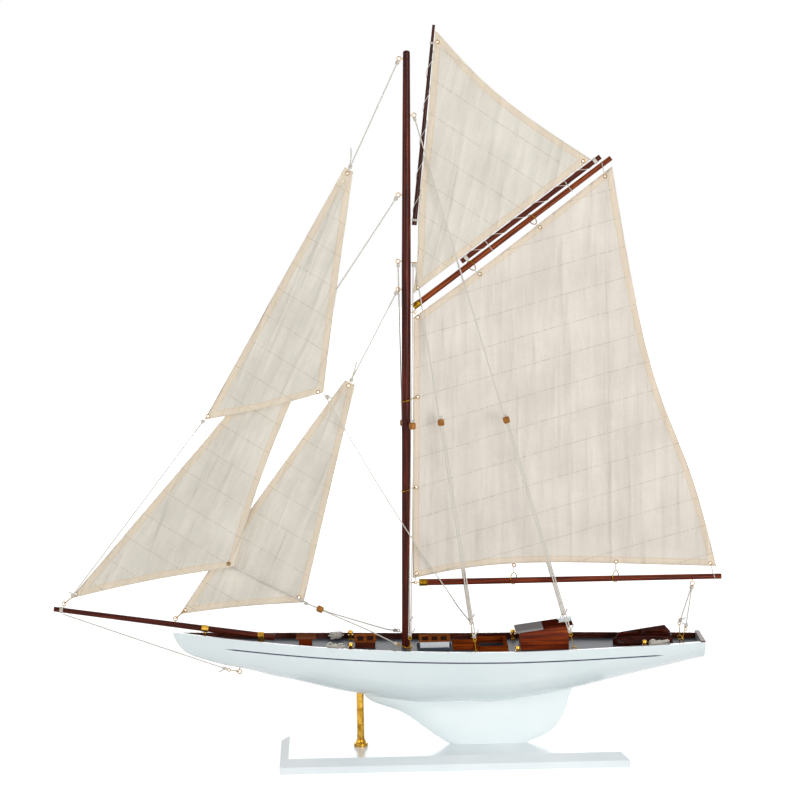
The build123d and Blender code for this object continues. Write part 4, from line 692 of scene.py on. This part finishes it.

# White enamel for the sliding hatch
white_enamel = gloss_lacquer("white_enamel_on_joinery", False)
paint(white_enamel, "companion_slide")


def two_tone(name, split, low_colour, high_colour, gloss):
    """Brushed enamel in one colour up to a height, and another above it."""
    enamel, shader = new_material(name)
    place = add_node(enamel, "TexCoord")
    parts = add_node(enamel, "SeparateXYZ", links={"Vector": place.outputs["Object"]})
    over = add_node(enamel, "Math", {"operation": "GREATER_THAN", 1: split * MM}, {0: parts.outputs["Z"]})
    brush = add_node(enamel, "TexNoise", {"Scale": 1 / (2 * MM), "Detail": 4.0},
                     {"Vector": place.outputs["Object"]})
    colours = add_node(enamel, "MixRGB", {"Color1": linear(low_colour), "Color2": linear(high_colour)},
                       {"Fac": over.outputs[0]})
    soiled = add_node(enamel, "MixRGB", {"blend_type": "MULTIPLY", "Fac": 0.15},
                      {"Color1": colours.outputs["Color"], "Color2": brush.outputs["Fac"]})
    relief = add_node(enamel, "Bump", {"Strength": 0.2, "Distance": 0.05 * MM},
                      {"Height": brush.outputs["Fac"]})
    link(enamel, soiled.outputs["Color"], shader, "Base Color")
    link(enamel, relief.outputs["Normal"], shader, "Normal")
    shader.inputs["Roughness"].default_value = gloss
    shader.inputs["Specular IOR Level"].default_value = 0.0
    return enamel


# the skylight's base: grey below this height, near-white above
paint(two_tone("grey_plinth_white_walls", 90.3 + BASE_TOP, "59616B", "F0F5F8", 0.4), "main_skylight_base")
paint(two_tone("dark_coaming_under_lid", 99.9 + BASE_TOP, "7A3010", "7C4A32", 0.6), "fore_hatch")
paint(joinery_brown, "fore_skylight_base")


def roof_with_shaded_panes(name, eaves, ridge, half_width):
    """Brown roof wood whose sunk panes are painted dark brown as shade: the panes lie below the slope."""
    roof = varnished_wood(name, "5E2C10", "88491F", "A36433", coat=0.0, specular=0.0)
    shader = roof.node_tree.nodes["Principled BSDF"]
    grain_colour = shader.inputs["Base Color"].links[0].from_socket
    place = add_node(roof, "TexCoord")
    parts = add_node(roof, "SeparateXYZ", links={"Vector": place.outputs["Object"]})
    side = add_node(roof, "Math", {"operation": "ABSOLUTE"}, {0: parts.outputs["Y"]})
    fall = add_node(roof, "Math", {"operation": "MULTIPLY", 1: (ridge - eaves) / half_width},
                    {0: side.outputs[0]})
    slope = add_node(roof, "Math", {"operation": "SUBTRACT", 0: (ridge + BASE_TOP) * MM},
                     {1: fall.outputs[0]})
    depth = add_node(roof, "Math", {"operation": "SUBTRACT"}, {0: slope.outputs[0], 1: parts.outputs["Z"]})
    sunk = add_node(roof, "Math", {"operation": "GREATER_THAN", 1: 0.5 * MM}, {0: depth.outputs[0]})
    over_eaves = add_node(roof, "Math", {"operation": "GREATER_THAN", 1: (eaves + BASE_TOP + 0.1) * MM},
                          {0: parts.outputs["Z"]})
    pane = add_node(roof, "Math", {"operation": "MULTIPLY"}, {0: sunk.outputs[0], 1: over_eaves.outputs[0]})
    # painted shade: the sunk panes take a dark brown for the shade seen through the windows
    pane_shade_colour = add_node(roof, "MixRGB", {"Color2": linear("38211A")},
                      {"Fac": pane.outputs[0], "Color1": grain_colour})
    link(roof, pane_shade_colour.outputs["Color"], shader, "Base Color")
    return roof


paint(roof_with_shaded_panes("fore_skylight_roof_wood", 96.7, 102.6, 8.9), "fore_skylight_roof")
paint(roof_with_shaded_panes("main_skylight_roof_wood", 96.1, 100.6, 10.5), "main_skylight_roof")


# ---------------------------------------------------------------- dinghy
# A rowing boat lashed upside down on the after deck, carved in one piece and varnished.
dinghy_varnish = varnished_wood("dark_varnished_dinghy", "180703", "360F07", "61200F", gloss=0.1,
                                coat=0.16, specular=0.0)
paint(dinghy_varnish, "dinghy")


# ---------------------------------------------------------------- mast and spars
# Turned from straight-grained mahogany and varnished: the mast, bowsprit and topsail spars
# nearly black-brown, the boom and gaff lighter and redder.
GAFF_SLOPE = math.atan2(0.589, 0.808)
YARD_SLOPE = math.atan2(174.6, 19.9)
BOWSPRIT_SLOPE = -math.atan2(30.0, 196.3)
MAST_SLOPE = math.radians(89)
paint(varnished_wood("dark_mahogany_mast", "240A05", "48150A", "782A12", tilt=MAST_SLOPE), "mast")
paint(varnished_wood("dark_mahogany_bowsprit", "2B0D07", "4C1A0F", "74301A", tilt=BOWSPRIT_SLOPE),
      "bowsprit")
paint(varnished_wood("dark_mahogany_jackyard", "34120A", "582313", "78391F", tilt=GAFF_SLOPE), "jackyard")
paint(varnished_wood("dark_mahogany_yard", "200E0A", "3A1810", "552519", tilt=YARD_SLOPE), "topsail_yard")
paint(varnished_wood("red_mahogany_boom", "3C1206", "6C260E", "93421B", tilt=0.03), "boom")
paint(varnished_wood("red_mahogany_gaff", "3E1407", "7C3413", "B25E2A", tilt=GAFF_SLOPE), "gaff")


# ---------------------------------------------------------------- brass wire fittings
# Screw eyes, rings and S-hooks bent from brass wire 0.7 mm thick, and the drawn brass
# ferrules at the heels of boom and gaff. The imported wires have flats, so each piece is
# rebuilt as round wire in the same place.
def rounded(node, name, body, material, voxel, passes=4):
    """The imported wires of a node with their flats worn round, in the same place."""
    mesh = nodes[node].data.copy()
    piece = bpy.data.objects.new(name, mesh)
    bpy.context.scene.collection.objects.link(piece)
    weld = piece.modifiers.new("weld", "WELD")
    weld.merge_threshold = 0.002 * MM
    remesh = piece.modifiers.new("remesh", "REMESH")
    remesh.mode = "VOXEL"
    remesh.voxel_size = voxel * MM
    smooth = piece.modifiers.new("smooth", "SMOOTH")
    smooth.factor = 0.5
    smooth.iterations = passes
    final = bpy.data.meshes.new_from_object(piece.evaluated_get(bpy.context.evaluated_depsgraph_get()))
    piece.modifiers.clear()
    piece.data = final
    final.materials.clear()
    final.materials.append(material)
    final.polygons.foreach_set("use_smooth", [True] * len(final.polygons))
    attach(piece, body)
    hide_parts(node)
    return piece


# Lightly tarnished brass: browner than the polished pieces, bright only on its bends
brass_wire, shader = new_material("lightly_tarnished_brass")
place = add_node(brass_wire, "TexCoord")
tarnish = add_node(brass_wire, "TexNoise", {"Scale": 1 / (2 * MM), "Detail": 4.0},
                   {"Vector": place.outputs["Object"]})
tone = add_node(brass_wire, "ValToRGB", links={"Fac": tarnish.outputs["Fac"]})
tone.color_ramp.elements[0].color = linear("5E4208")
tone.color_ramp.elements[0].position = 0.3
tone.color_ramp.elements[1].color = linear("BE8F22")
tone.color_ramp.elements[1].position = 0.7
link(brass_wire, tone.outputs["Color"], shader, "Base Color")
shader.inputs["Metallic"].default_value = 1.0
shader.inputs["Roughness"].default_value = 0.28
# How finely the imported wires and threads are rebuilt, in millimetres
WIRE_VOXEL = 0.13
rounded("screw_eyes", "brass_screw_eyes", "ship", brass_wire, WIRE_VOXEL)
rounded("rigging_hooks", "brass_rigging_hooks", "ship", brass_wire, WIRE_VOXEL)
rounded("boom_fittings", "brass_boom_fittings", "boom_and_mainsail", brass_wire, WIRE_VOXEL)
rounded("gaff_fittings", "brass_gaff_fittings", "gaff_and_topsail", brass_wire, WIRE_VOXEL)
rounded("mast_hoops", "brass_wire_mast_hoops", "ship", brass_wire, WIRE_VOXEL)


# ---------------------------------------------------------------- thread ties and lashings
# Waxed white thread: it ties the mainsail's grommets to the rings on its spars, and laces
# the topsail to its yard and to the jackyard in a long spiral.
LACING = 0.5
TIE_VOXEL = 0.12
LASHING_VOXEL = 0.14
rounded("mainsail_ties", "white_thread_sail_ties", "boom_and_mainsail", cotton_cord,
        TIE_VOXEL, 3)
rounded("spar_lashings", "white_thread_spar_lashings", "gaff_and_topsail", cotton_cord,
        LASHING_VOXEL, 2)


def lace(name, low, high, radius, turns):
    """A spiral of thread along a spar."""
    way = (high - low).normalized()
    across = Vector((0, 1, 0))
    third = way.cross(across)
    steps = 16
    count = turns * steps
    points = []
    for i in range(count + 1):
        angle = 2 * math.pi * i / steps
        at = low.lerp(high, i / count)
        points.append(at + (across * math.cos(angle) + third * math.sin(angle)) * radius * MM)
    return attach(lay_cord(name, points, LACING), "gaff_and_topsail")


def on_gaff(distance, rise):
    """A place measured along the gaff from its heel and up from its axis."""
    return ship(-28.92 + 0.808 * distance - 0.589 * rise, 0, 394.7 + 0.589 * distance + 0.808 * rise)


lace("jackyard_lacing", on_gaff(64.0, 6.6), on_gaff(204.0, 6.6), 2.62, 6)
lace("yard_lacing", ship(-26.2, 0, 473.5), ship(-9.2, 0, 622.5), 2.45, 5)
wind("yard_foot_seizing", ship(-26.4, 0, 471.6), Vector((19.9, 0, 174.6)), 2.5, 3, 0.6, "gaff_and_topsail")
wind("yard_head_seizing", ship(-8.8, 0, 626.0), Vector((19.9, 0, 174.6)), 1.8, 3, 0.6, "gaff_and_topsail")


# ---------------------------------------------------------------- wooden beads
# Turned beads of a pale fruitwood with two holes, one for each leg of the line.
BEAD_VOXEL = 0.2
bead_material = varnished_wood("turned_pearwood_bead", "7E4C1E", "AC7234", "C98F4C", tilt=math.pi / 2,
                               pore=0.3, gloss=0.35)
for kind in ("shroud", "backstay", "halyard"):
    for side_name in ("port", "starboard"):
        bead_body = f"{kind}_bead_{side_name}"
        rounded(f"bead_{kind}_{side_name}", f"turned_bead_{kind}_{side_name}", bead_body,
                bead_material, BEAD_VOXEL, 5)
rounded("bead_headsail_sheet", "turned_bead_headsail_sheets", "ship", bead_material,
        BEAD_VOXEL, 5)


# ---------------------------------------------------------------- sails
# Unbleached cotton, cut in one piece and drawn with stitched false seams 26 mm apart, with
# a folded hem all round and a brass grommet at each corner and lacing point.
CLOTH = 0.45
HEM = 6.2
HEM_DOUBLE = 0.25            # what the folded hem adds to the cloth's thickness
PANEL = 26.0
CELL = 2.3


def smooth_line(points, count):
    """Evenly spaced places on a smooth line through points, drawn as a batten would bend."""
    given = np.array(points, float)
    steps = np.linalg.norm(np.diff(given, axis=0), axis=1)
    at = np.concatenate([[0], np.cumsum(steps)])
    t = np.linspace(0, at[-1], count)
    n = len(given)
    if n == 2:
        return given[0] + (given[1] - given[0]) * (t / at[-1])[:, None]
    matrix = np.zeros((n, n))
    values = np.zeros((n, 3))
    matrix[0, 0] = matrix[-1, -1] = 1
    for i in range(1, n - 1):
        before, after = steps[i - 1], steps[i]
        matrix[i, i - 1:i + 2] = before, 2 * (before + after), after
        values[i] = 6 * ((given[i + 1] - given[i]) / after - (given[i] - given[i - 1]) / before)
    bend = np.linalg.solve(matrix, values)
    k = np.clip(np.searchsorted(at, t, side="right") - 1, 0, n - 2)
    h = steps[k][:, None]
    low = (at[k + 1] - t)[:, None]
    high = (t - at[k])[:, None]
    return (bend[k] * low ** 3 + bend[k + 1] * high ** 3) / (6 * h) + (
        given[k] / h - bend[k] * h / 6) * low + (given[k + 1] / h - bend[k + 1] * h / 6) * high


def sailcloth(name, slope, first_seam, fall, tone_low, tone_high):
    """Plain-woven unbleached cotton: matt cream with slubs, seed specks, a soft crumple and painted shade
    along its pleats.
    Its threads are 0.35 mm apart and are drawn at 0.7 mm. slope turns the false
    seams, and fall turns the long pleats away from upright."""
    cloth, shader = new_material(name)
    place = add_node(cloth, "TexCoord")
    turned = add_node(cloth, "Mapping", {"Rotation": (0, slope, 0)}, {"Vector": place.outputs["Object"]})
    parts = add_node(cloth, "SeparateXYZ", links={"Vector": turned.outputs["Vector"]})
    cloud = add_node(cloth, "TexNoise", {"Scale": 1 / (45 * MM), "Detail": 5.0},
                     {"Vector": place.outputs["Object"]})
    tone = add_node(cloth, "ValToRGB", links={"Fac": cloud.outputs["Fac"]})
    tone.color_ramp.elements[0].color = linear(tone_low)
    tone.color_ramp.elements[0].position = 0.32
    tone.color_ramp.elements[1].color = linear(tone_high)
    tone.color_ramp.elements[1].position = 0.68
    # slubs: thicker threads that run a centimetre or two, across and along the weave
    across = add_node(cloth, "Mapping", {"Scale": (1 / (14 * MM), 1, 1 / (0.7 * MM))},
                      {"Vector": turned.outputs["Vector"]})
    along = add_node(cloth, "Mapping", {"Scale": (1 / (0.7 * MM), 1, 1 / (14 * MM))},
                     {"Vector": turned.outputs["Vector"]})
    weft = add_node(cloth, "TexNoise", {"Scale": 1.0, "Detail": 2.0}, {"Vector": across.outputs["Vector"]})
    warp = add_node(cloth, "TexNoise", {"Scale": 1.0, "Detail": 2.0}, {"Vector": along.outputs["Vector"]})
    threads = add_node(cloth, "Math", {"operation": "ADD"}, {0: weft.outputs["Fac"], 1: warp.outputs["Fac"]})
    slub = add_node(cloth, "MapRange", {"From Min": 0.7, "From Max": 1.3, "To Min": 0.95, "To Max": 1.03},
                    {"Value": threads.outputs[0]})
    woven = add_node(cloth, "MixRGB", {"blend_type": "MULTIPLY", "Fac": 1.0},
                     {"Color1": tone.outputs["Color"], "Color2": slub.outputs[0]})
    # seed specks: husk left in unbleached cotton
    specks = add_node(cloth, "TexVoronoi", {"Scale": 1 / (7 * MM)}, {"Vector": place.outputs["Object"]})
    speck = add_node(cloth, "Math", {"operation": "LESS_THAN", 1: 0.055}, {0: specks.outputs["Distance"]})
    speck_faint = add_node(cloth, "Math", {"operation": "MULTIPLY", 1: 0.4}, {0: speck.outputs[0]})
    seeded = add_node(cloth, "MixRGB", {"Color2": linear("9C8E78")},
                      {"Fac": speck_faint.outputs[0], "Color1": woven.outputs["Color"]})
    # hem: the cloth doubled over reads warmer, with a line of stitches at its inner edge
    edge = add_node(cloth, "Attribute", {"attribute_name": "from_edge"})
    hem = add_node(cloth, "MapRange",
                   {"From Min": HEM - 0.3, "From Max": HEM + 0.3, "To Min": 1.0, "To Max": 0.0},
                   {"Value": edge.outputs["Fac"]})
    hem_part = add_node(cloth, "Math", {"operation": "MULTIPLY", 1: 0.62}, {0: hem.outputs[0]})
    hemmed = add_node(cloth, "MixRGB", {"Color2": linear("EBD8BC")},
                      {"Fac": hem_part.outputs[0], "Color1": seeded.outputs["Color"]})
    # stitches: false seams a panel apart, and one row along the hem
    count = add_node(cloth, "Math", {"operation": "MULTIPLY_ADD", 1: 1 / (PANEL * MM), 2: first_seam},
                     {0: parts.outputs["Z"]})
    within = add_node(cloth, "Math", {"operation": "FRACT"}, {0: count.outputs[0]})
    middle = add_node(cloth, "Math", {"operation": "SUBTRACT", 1: 0.5}, {0: within.outputs[0]})
    off = add_node(cloth, "Math", {"operation": "ABSOLUTE"}, {0: middle.outputs[0]})
    seam = add_node(cloth, "MapRange",
                    {"From Min": 0.25 / PANEL, "From Max": 0.5 / PANEL, "To Min": 1.0, "To Max": 0.0},
                    {"Value": off.outputs[0]})
    to_hem = add_node(cloth, "Math", {"operation": "SUBTRACT", 1: HEM - 0.6}, {0: edge.outputs["Fac"]})
    to_hem_row = add_node(cloth, "Math", {"operation": "ABSOLUTE"}, {0: to_hem.outputs[0]})
    hem_row = add_node(cloth, "MapRange", {"From Min": 0.2, "From Max": 0.45, "To Min": 0.7, "To Max": 0.0},
                       {"Value": to_hem_row.outputs[0]})
    rows = add_node(cloth, "Math", {"operation": "MAXIMUM"}, {0: seam.outputs[0], 1: hem_row.outputs[0]})
    dash = add_node(cloth, "TexNoise", {"Scale": 1 / (1.6 * MM), "Detail": 0.0},
                    {"Vector": place.outputs["Object"]})
    dashes = add_node(cloth, "MapRange", {"From Min": 0.4, "From Max": 0.6, "To Min": 0.08, "To Max": 0.36},
                      {"Value": dash.outputs["Fac"]})
    stitch = add_node(cloth, "Math", {"operation": "MULTIPLY"}, {0: rows.outputs[0], 1: dashes.outputs[0]})
    sewn = add_node(cloth, "MixRGB", {"Color2": linear("A08C6E")},
                    {"Fac": stitch.outputs[0], "Color1": hemmed.outputs["Color"]})
    crumple = add_node(cloth, "TexNoise",
                       {"Scale": 1 / (16 * MM), "Detail": 6.0, "Roughness": 0.62, "Distortion": 0.6},
                       {"Vector": place.outputs["Object"]})
    hung = add_node(cloth, "Mapping", {"Rotation": (0, fall, 0)}, {"Vector": place.outputs["Object"]})
    drawn = add_node(cloth, "Mapping", {"Scale": (1 / (9 * MM), 1, 1 / (130 * MM))},
                     {"Vector": hung.outputs["Vector"]})
    pleats = add_node(cloth, "TexNoise", {"Scale": 1.0, "Detail": 3.0, "Distortion": 0.3},
                      {"Vector": drawn.outputs["Vector"]})
    pleated = add_node(cloth, "Bump", {"Strength": 1.0, "Distance": 4.0 * MM},
                       {"Height": pleats.outputs["Fac"]})
    # painted shade and light: the colour is darkened in the pleats' hollows and lightened a little on their
    # ridges
    pleat_painted_shade = add_node(cloth, "MapRange",
                      {"From Min": 0.35, "From Max": 0.65, "To Min": 0.93, "To Max": 1.02},
                      {"Value": pleats.outputs["Fac"]})
    cloth_with_pleat_shade = add_node(cloth, "MixRGB", {"blend_type": "MULTIPLY", "Fac": 1.0},
                      {"Color1": sewn.outputs["Color"], "Color2": pleat_painted_shade.outputs[0]})
    soft = add_node(cloth, "Bump", {"Strength": 0.7, "Distance": 1.1 * MM},
                    {"Height": crumple.outputs["Fac"], "Normal": pleated.outputs["Normal"]})
    thread_relief = add_node(cloth, "Bump", {"Strength": 0.35, "Distance": 0.12 * MM},
                             {"Height": threads.outputs[0], "Normal": soft.outputs["Normal"]})
    seam_relief = add_node(cloth, "Bump", {"Strength": 0.6, "Distance": 0.15 * MM, "invert": True},
                           {"Height": rows.outputs[0], "Normal": thread_relief.outputs["Normal"]})
    link(cloth, cloth_with_pleat_shade.outputs["Color"], shader, "Base Color")
    link(cloth, seam_relief.outputs["Normal"], shader, "Normal")
    shader.inputs["Roughness"].default_value = 0.92
    shader.inputs["Sheen Weight"].default_value = 0.2
    shader.inputs["Specular IOR Level"].default_value = 0.25
    return cloth


def sew_sail(name, node, body, luff, leech, foot, head, belly, folds, holes, material):
    """A closed cloth between four edges, swelled to one side, with folds that run from head
    to foot, a thicker hem and a punched hole at each grommet. Returns the holes' middles."""
    width = max(np.linalg.norm(np.array(leech[0]) - luff[0]), np.linalg.norm(np.array(leech[-1]) - luff[-1]))
    across = max(24, int(width / CELL))
    up = int(np.linalg.norm(np.array(luff[-1]) - luff[0]) / CELL)
    sides = [smooth_line(luff, up + 1), smooth_line(leech, up + 1)]
    ends = [smooth_line(foot or [luff[0], leech[0]], across + 1),
            smooth_line(head or [luff[-1], leech[-1]], across + 1)]
    u = np.linspace(0, 1, across + 1)[None, :, None]
    v = np.linspace(0, 1, up + 1)[:, None, None]
    corner = [sides[0][0], sides[1][0], sides[0][-1], sides[1][-1]]
    grid = ends[0][None] * (1 - v) + ends[1][None] * v + sides[0][:, None] * (1 - u) + sides[1][:, None] * u
    grid -= (corner[0] * (1 - u) + corner[1] * u) * (1 - v) + (corner[2] * (1 - u) + corner[3] * u) * v
    grid[..., 1] += belly * np.sin(math.pi * u[..., 0]) * np.sin(math.pi * v[..., 0])
    border = np.concatenate([grid[0], grid[-1], grid[:, 0], grid[:, -1]])[:, [0, 2]]
    flat_grid = grid.reshape(-1, 3)
    from_edge = np.array([np.sqrt(((border - p) ** 2).sum(1).min()) for p in flat_grid[:, [0, 2]]])
    amount, lean, wave_across, wave_up, seed = folds
    for i, (x, y, z) in enumerate(flat_grid):
        ease = min(1.0, from_edge[i] / 22.0)
        s = x + lean * z
        long_fold = noise.noise(Vector((s / wave_across, z / wave_up, seed)))
        short_fold = noise.noise(Vector((s / (wave_across * 0.42), z / (wave_up * 0.5), seed + 7)))
        crease = 1 - abs(noise.noise(Vector((s / (wave_across * 0.8), z / (wave_up * 1.3), seed + 13)))) * 2
        flat_grid[i, 1] += amount * ease * (long_fold + 0.45 * short_fold + 0.35 * max(0.0, crease) ** 6)
        flat_grid[i, 1] += 0.35 * noise.noise(Vector((x / 9, z / 9, seed + 20))) * min(1.0,
                                                                                       from_edge[i] / 4.0)
    thick = CLOTH / 2 + HEM_DOUBLE / 2 * np.clip((HEM + 0.3 - from_edge) / 0.6, 0, 1)
    front = flat_grid.copy()
    back = flat_grid.copy()
    front[:, 1] -= thick
    back[:, 1] += thick
    total = len(flat_grid)
    columns = across + 1

    def number(row, column):
        """A point's place in the grid's list of points."""
        return row * columns + column

    faces = []
    for row in range(up):
        for column in range(across):
            quad = (number(row, column), number(row, column + 1), number(row + 1, column + 1),
                    number(row + 1, column))
            faces.append(quad)
            faces.append(tuple(total + i for i in reversed(quad)))
    loop = [number(0, c) for c in range(columns)] + [number(r, across) for r in range(1, up + 1)]
    loop += [number(up, c) for c in range(across - 1, -1, -1)] + [number(r, 0) for r in range(up - 1, 0, -1)]
    for a, b in zip(loop, loop[1:] + loop[:1]):
        faces.append((b, a, total + a, total + b))
    mesh = bpy.data.meshes.new(name)
    points = np.concatenate([front, back])
    mesh.from_pydata([tuple(ship(*p)) for p in points], [], faces)
    mesh.attributes.new("from_edge", "FLOAT",
                        "POINT").data.foreach_set("value", np.concatenate([from_edge, from_edge]))
    mesh.polygons.foreach_set("use_smooth", [True] * len(mesh.polygons))
    mesh.materials.append(material)
    piece = bpy.data.objects.new(name, mesh)
    bpy.context.scene.collection.objects.link(piece)
    centres = []
    punches = bmesh.new()
    for x, z in holes:
        nearest = ((flat_grid[:, [0, 2]] - (x, z)) ** 2).sum(1).argmin()
        centre = ship(x, flat_grid[nearest, 1], z)
        centres.append(centre)
        made = bmesh.ops.create_cone(punches, cap_ends=True, segments=24, radius1=GROMMET_BORE * MM,
                                     radius2=GROMMET_BORE * MM, depth=4 * MM)
        turn = Matrix.Translation(centre) @ Matrix.Rotation(math.pi / 2, 4, "X")
        bmesh.ops.transform(punches, matrix=turn, verts=made["verts"])
    punch_mesh = bpy.data.meshes.new("punches")
    punches.to_mesh(punch_mesh)
    punch = bpy.data.objects.new("punches", punch_mesh)
    bpy.context.scene.collection.objects.link(punch)
    cut = piece.modifiers.new("punch", "BOOLEAN")
    cut.object = punch
    cut.solver = "EXACT"
    final = bpy.data.meshes.new_from_object(piece.evaluated_get(bpy.context.evaluated_depsgraph_get()))
    piece.modifiers.clear()
    piece.data = final
    bpy.data.objects.remove(punch)
    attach(piece, body)
    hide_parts(node)
    rings = set_grommets(name + "_grommets", centres, body)
    return centres


# Grommets: two-part brass eyelets, rolled over on both faces of the cloth
GROMMET_BORE = 1.15
GROMMET_PROFILE = ((1.1, -0.35), (1.2, -0.62), (1.45, -0.75), (1.75, -0.62), (1.92, -0.32),
                   (1.92, 0.32), (1.75, 0.62), (1.45, 0.75), (1.2, 0.62), (1.1, 0.35))


def set_grommets(name, centres, body):
    """Turned brass rings, one at each place."""
    mesh = bmesh.new()
    around = 32
    for centre in centres:
        rings = []
        for k in range(around):
            angle = 2 * math.pi * k / around
            rings.append([mesh.verts.new(centre + Vector((r * math.cos(angle), y, r * math.sin(angle))) * MM)
                          for r, y in GROMMET_PROFILE])
        for k in range(around):
            here, there = rings[k], rings[(k + 1) % around]
            for i in range(len(GROMMET_PROFILE)):
                j = (i + 1) % len(GROMMET_PROFILE)
                face = mesh.faces.new((here[i], here[j], there[j], there[i]))
                face.smooth = True
    bmesh.ops.recalc_face_normals(mesh, faces=mesh.faces)
    data = bpy.data.meshes.new(name)
    mesh.to_mesh(data)
    data.materials.append(brass_wire)
    piece = bpy.data.objects.new(name, data)
    bpy.context.scene.collection.objects.link(piece)
    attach(piece, body)
    return piece


DOWN_AFT = math.radians(-32)
main_cloth = sailcloth("cream_cotton_mainsail", math.radians(15), 0.1, 0.0, "E3DACF", "EFE7DC")
topsail_cloth = sailcloth("cream_cotton_topsail", math.radians(-34), 0.35, math.radians(-14), "E0DACE",
                          "EDE7DB")
head_cloth = sailcloth("cream_cotton_headsails", DOWN_AFT, 0.6, math.radians(-24), "DBD5C8", "EAE4D8")

sew_sail(
    "mainsail_cloth", "mainsail", "boom_and_mainsail",
    luff=[(-33.3, 0, 151.9), (-32.4, 0, 233.9), (-30.4, 0, 314.6), (-28.9, 0, 385.6)],
    leech=[(238.4, 0, 157.1), (213.7, 0, 248.0), (190.2, 0, 309.5), (169.0, 0, 391.9), (147.9, 0, 515.5)],
    foot=[(-33.3, 0, 151.9), (12.3, 0, 159.7), (149.2, 0, 161.4), (238.4, 0, 157.1)],
    head=[(-28.9, 0, 385.6), (24.7, 0, 423.0), (88.9, 0, 470.8), (147.9, 0, 515.5)],
    belly=5.0, folds=(2.6, -0.1, 17.0, 120.0, 2.0),
    holes=[(-29.1, 233.9), (-26.5, 314.6), (57.2, 161.6), (148.5, 162.8), (83.9, 463.2), (30.1, 423.0),
           (-29.9, 155.9), (-25.2, 385.6), (233.0, 159.6), (141.6, 507.0)],
    material=main_cloth)
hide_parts("mainsail_grommets")

sew_sail(
    "topsail_cloth", "topsail", "gaff_and_topsail",
    luff=[on_gaff(6.6, 9.7) / MM - Vector((0, 0, BASE_TOP)), (-25.0, 0, 434.1), (-23.1, 0, 475.0),
          (-16.7, 0, 530.3), (-11.2, 0, 583.0), (-5.7, 0, 636.4)],
    leech=[on_gaff(203.0, 9.8) / MM - Vector((0, 0, BASE_TOP)), (87.5, 0, 550.6), (36.2, 0, 591.7),
           (-3.2, 0, 634.6)],
    foot=None, head=None,
    belly=3.0, folds=(1.5, 0.25, 26.0, 110.0, 5.0),
    holes=[(-3.9, 626.8), (122.5, 520.6), (-24.4, 412.0)],
    material=topsail_cloth)
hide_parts("topsail_grommets")

sew_sail(
    "flying_jib_cloth", "flying_jib", "ship",
    luff=[(-215.7, -3.0, 298.5), (-86.9, -3.0, 519.4)],
    leech=[(-109.7, -14.0, 322.0), (-96.9, -9.0, 409.5), (-79.9, -3.0, 514.9)],
    foot=[(-215.7, -3.0, 298.5), (-165.3, -9.0, 307.8), (-109.7, -14.0, 322.0)], head=None,
    belly=-2.0, folds=(1.6, -0.55, 16.0, 110.0, 9.0),
    holes=[(-212.4, 301.6), (-114.5, 322.5), (-84.8, 513.8)],
    material=head_cloth)
sew_sail(
    "jib_cloth", "jib", "ship",
    luff=[(-339.0, 0, 139.8), (-102.2, -1.0, 408.7)],
    leech=[(-192.3, -9.0, 166.9), (-172.3, -6.0, 230.1), (-138.8, -4.0, 312.5), (-97.0, -1.0, 406.0)],
    foot=[(-339.0, 0, 139.8), (-267.4, -5.0, 155.5), (-192.3, -9.0, 166.9)], head=None,
    belly=-2.0, folds=(1.6, -0.75, 18.0, 110.0, 12.0),
    holes=[(-334.2, 143.6), (-196.9, 169.8), (-101.0, 403.6)],
    material=head_cloth)
sew_sail(
    "staysail_cloth", "staysail", "ship",
    luff=[(-241.9, 0, 123.7), (-217.2, 0, 159.9), (-158.5, 0, 241.6), (-90.5, 0, 331.1)],
    leech=[(-131.3, -1.0, 132.1), (-81.7, 0, 326.5)],
    foot=[(-241.9, 0, 123.7), (-186.3, -1.0, 129.6), (-131.3, -1.0, 132.1)], head=None,
    belly=-1.0, folds=(1.1, -0.5, 16.0, 100.0, 15.0),
    holes=[(-237.2, 127.0), (-135.3, 136.8), (-87.6, 326.0)],
    material=head_cloth)
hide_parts("headsail_grommets")
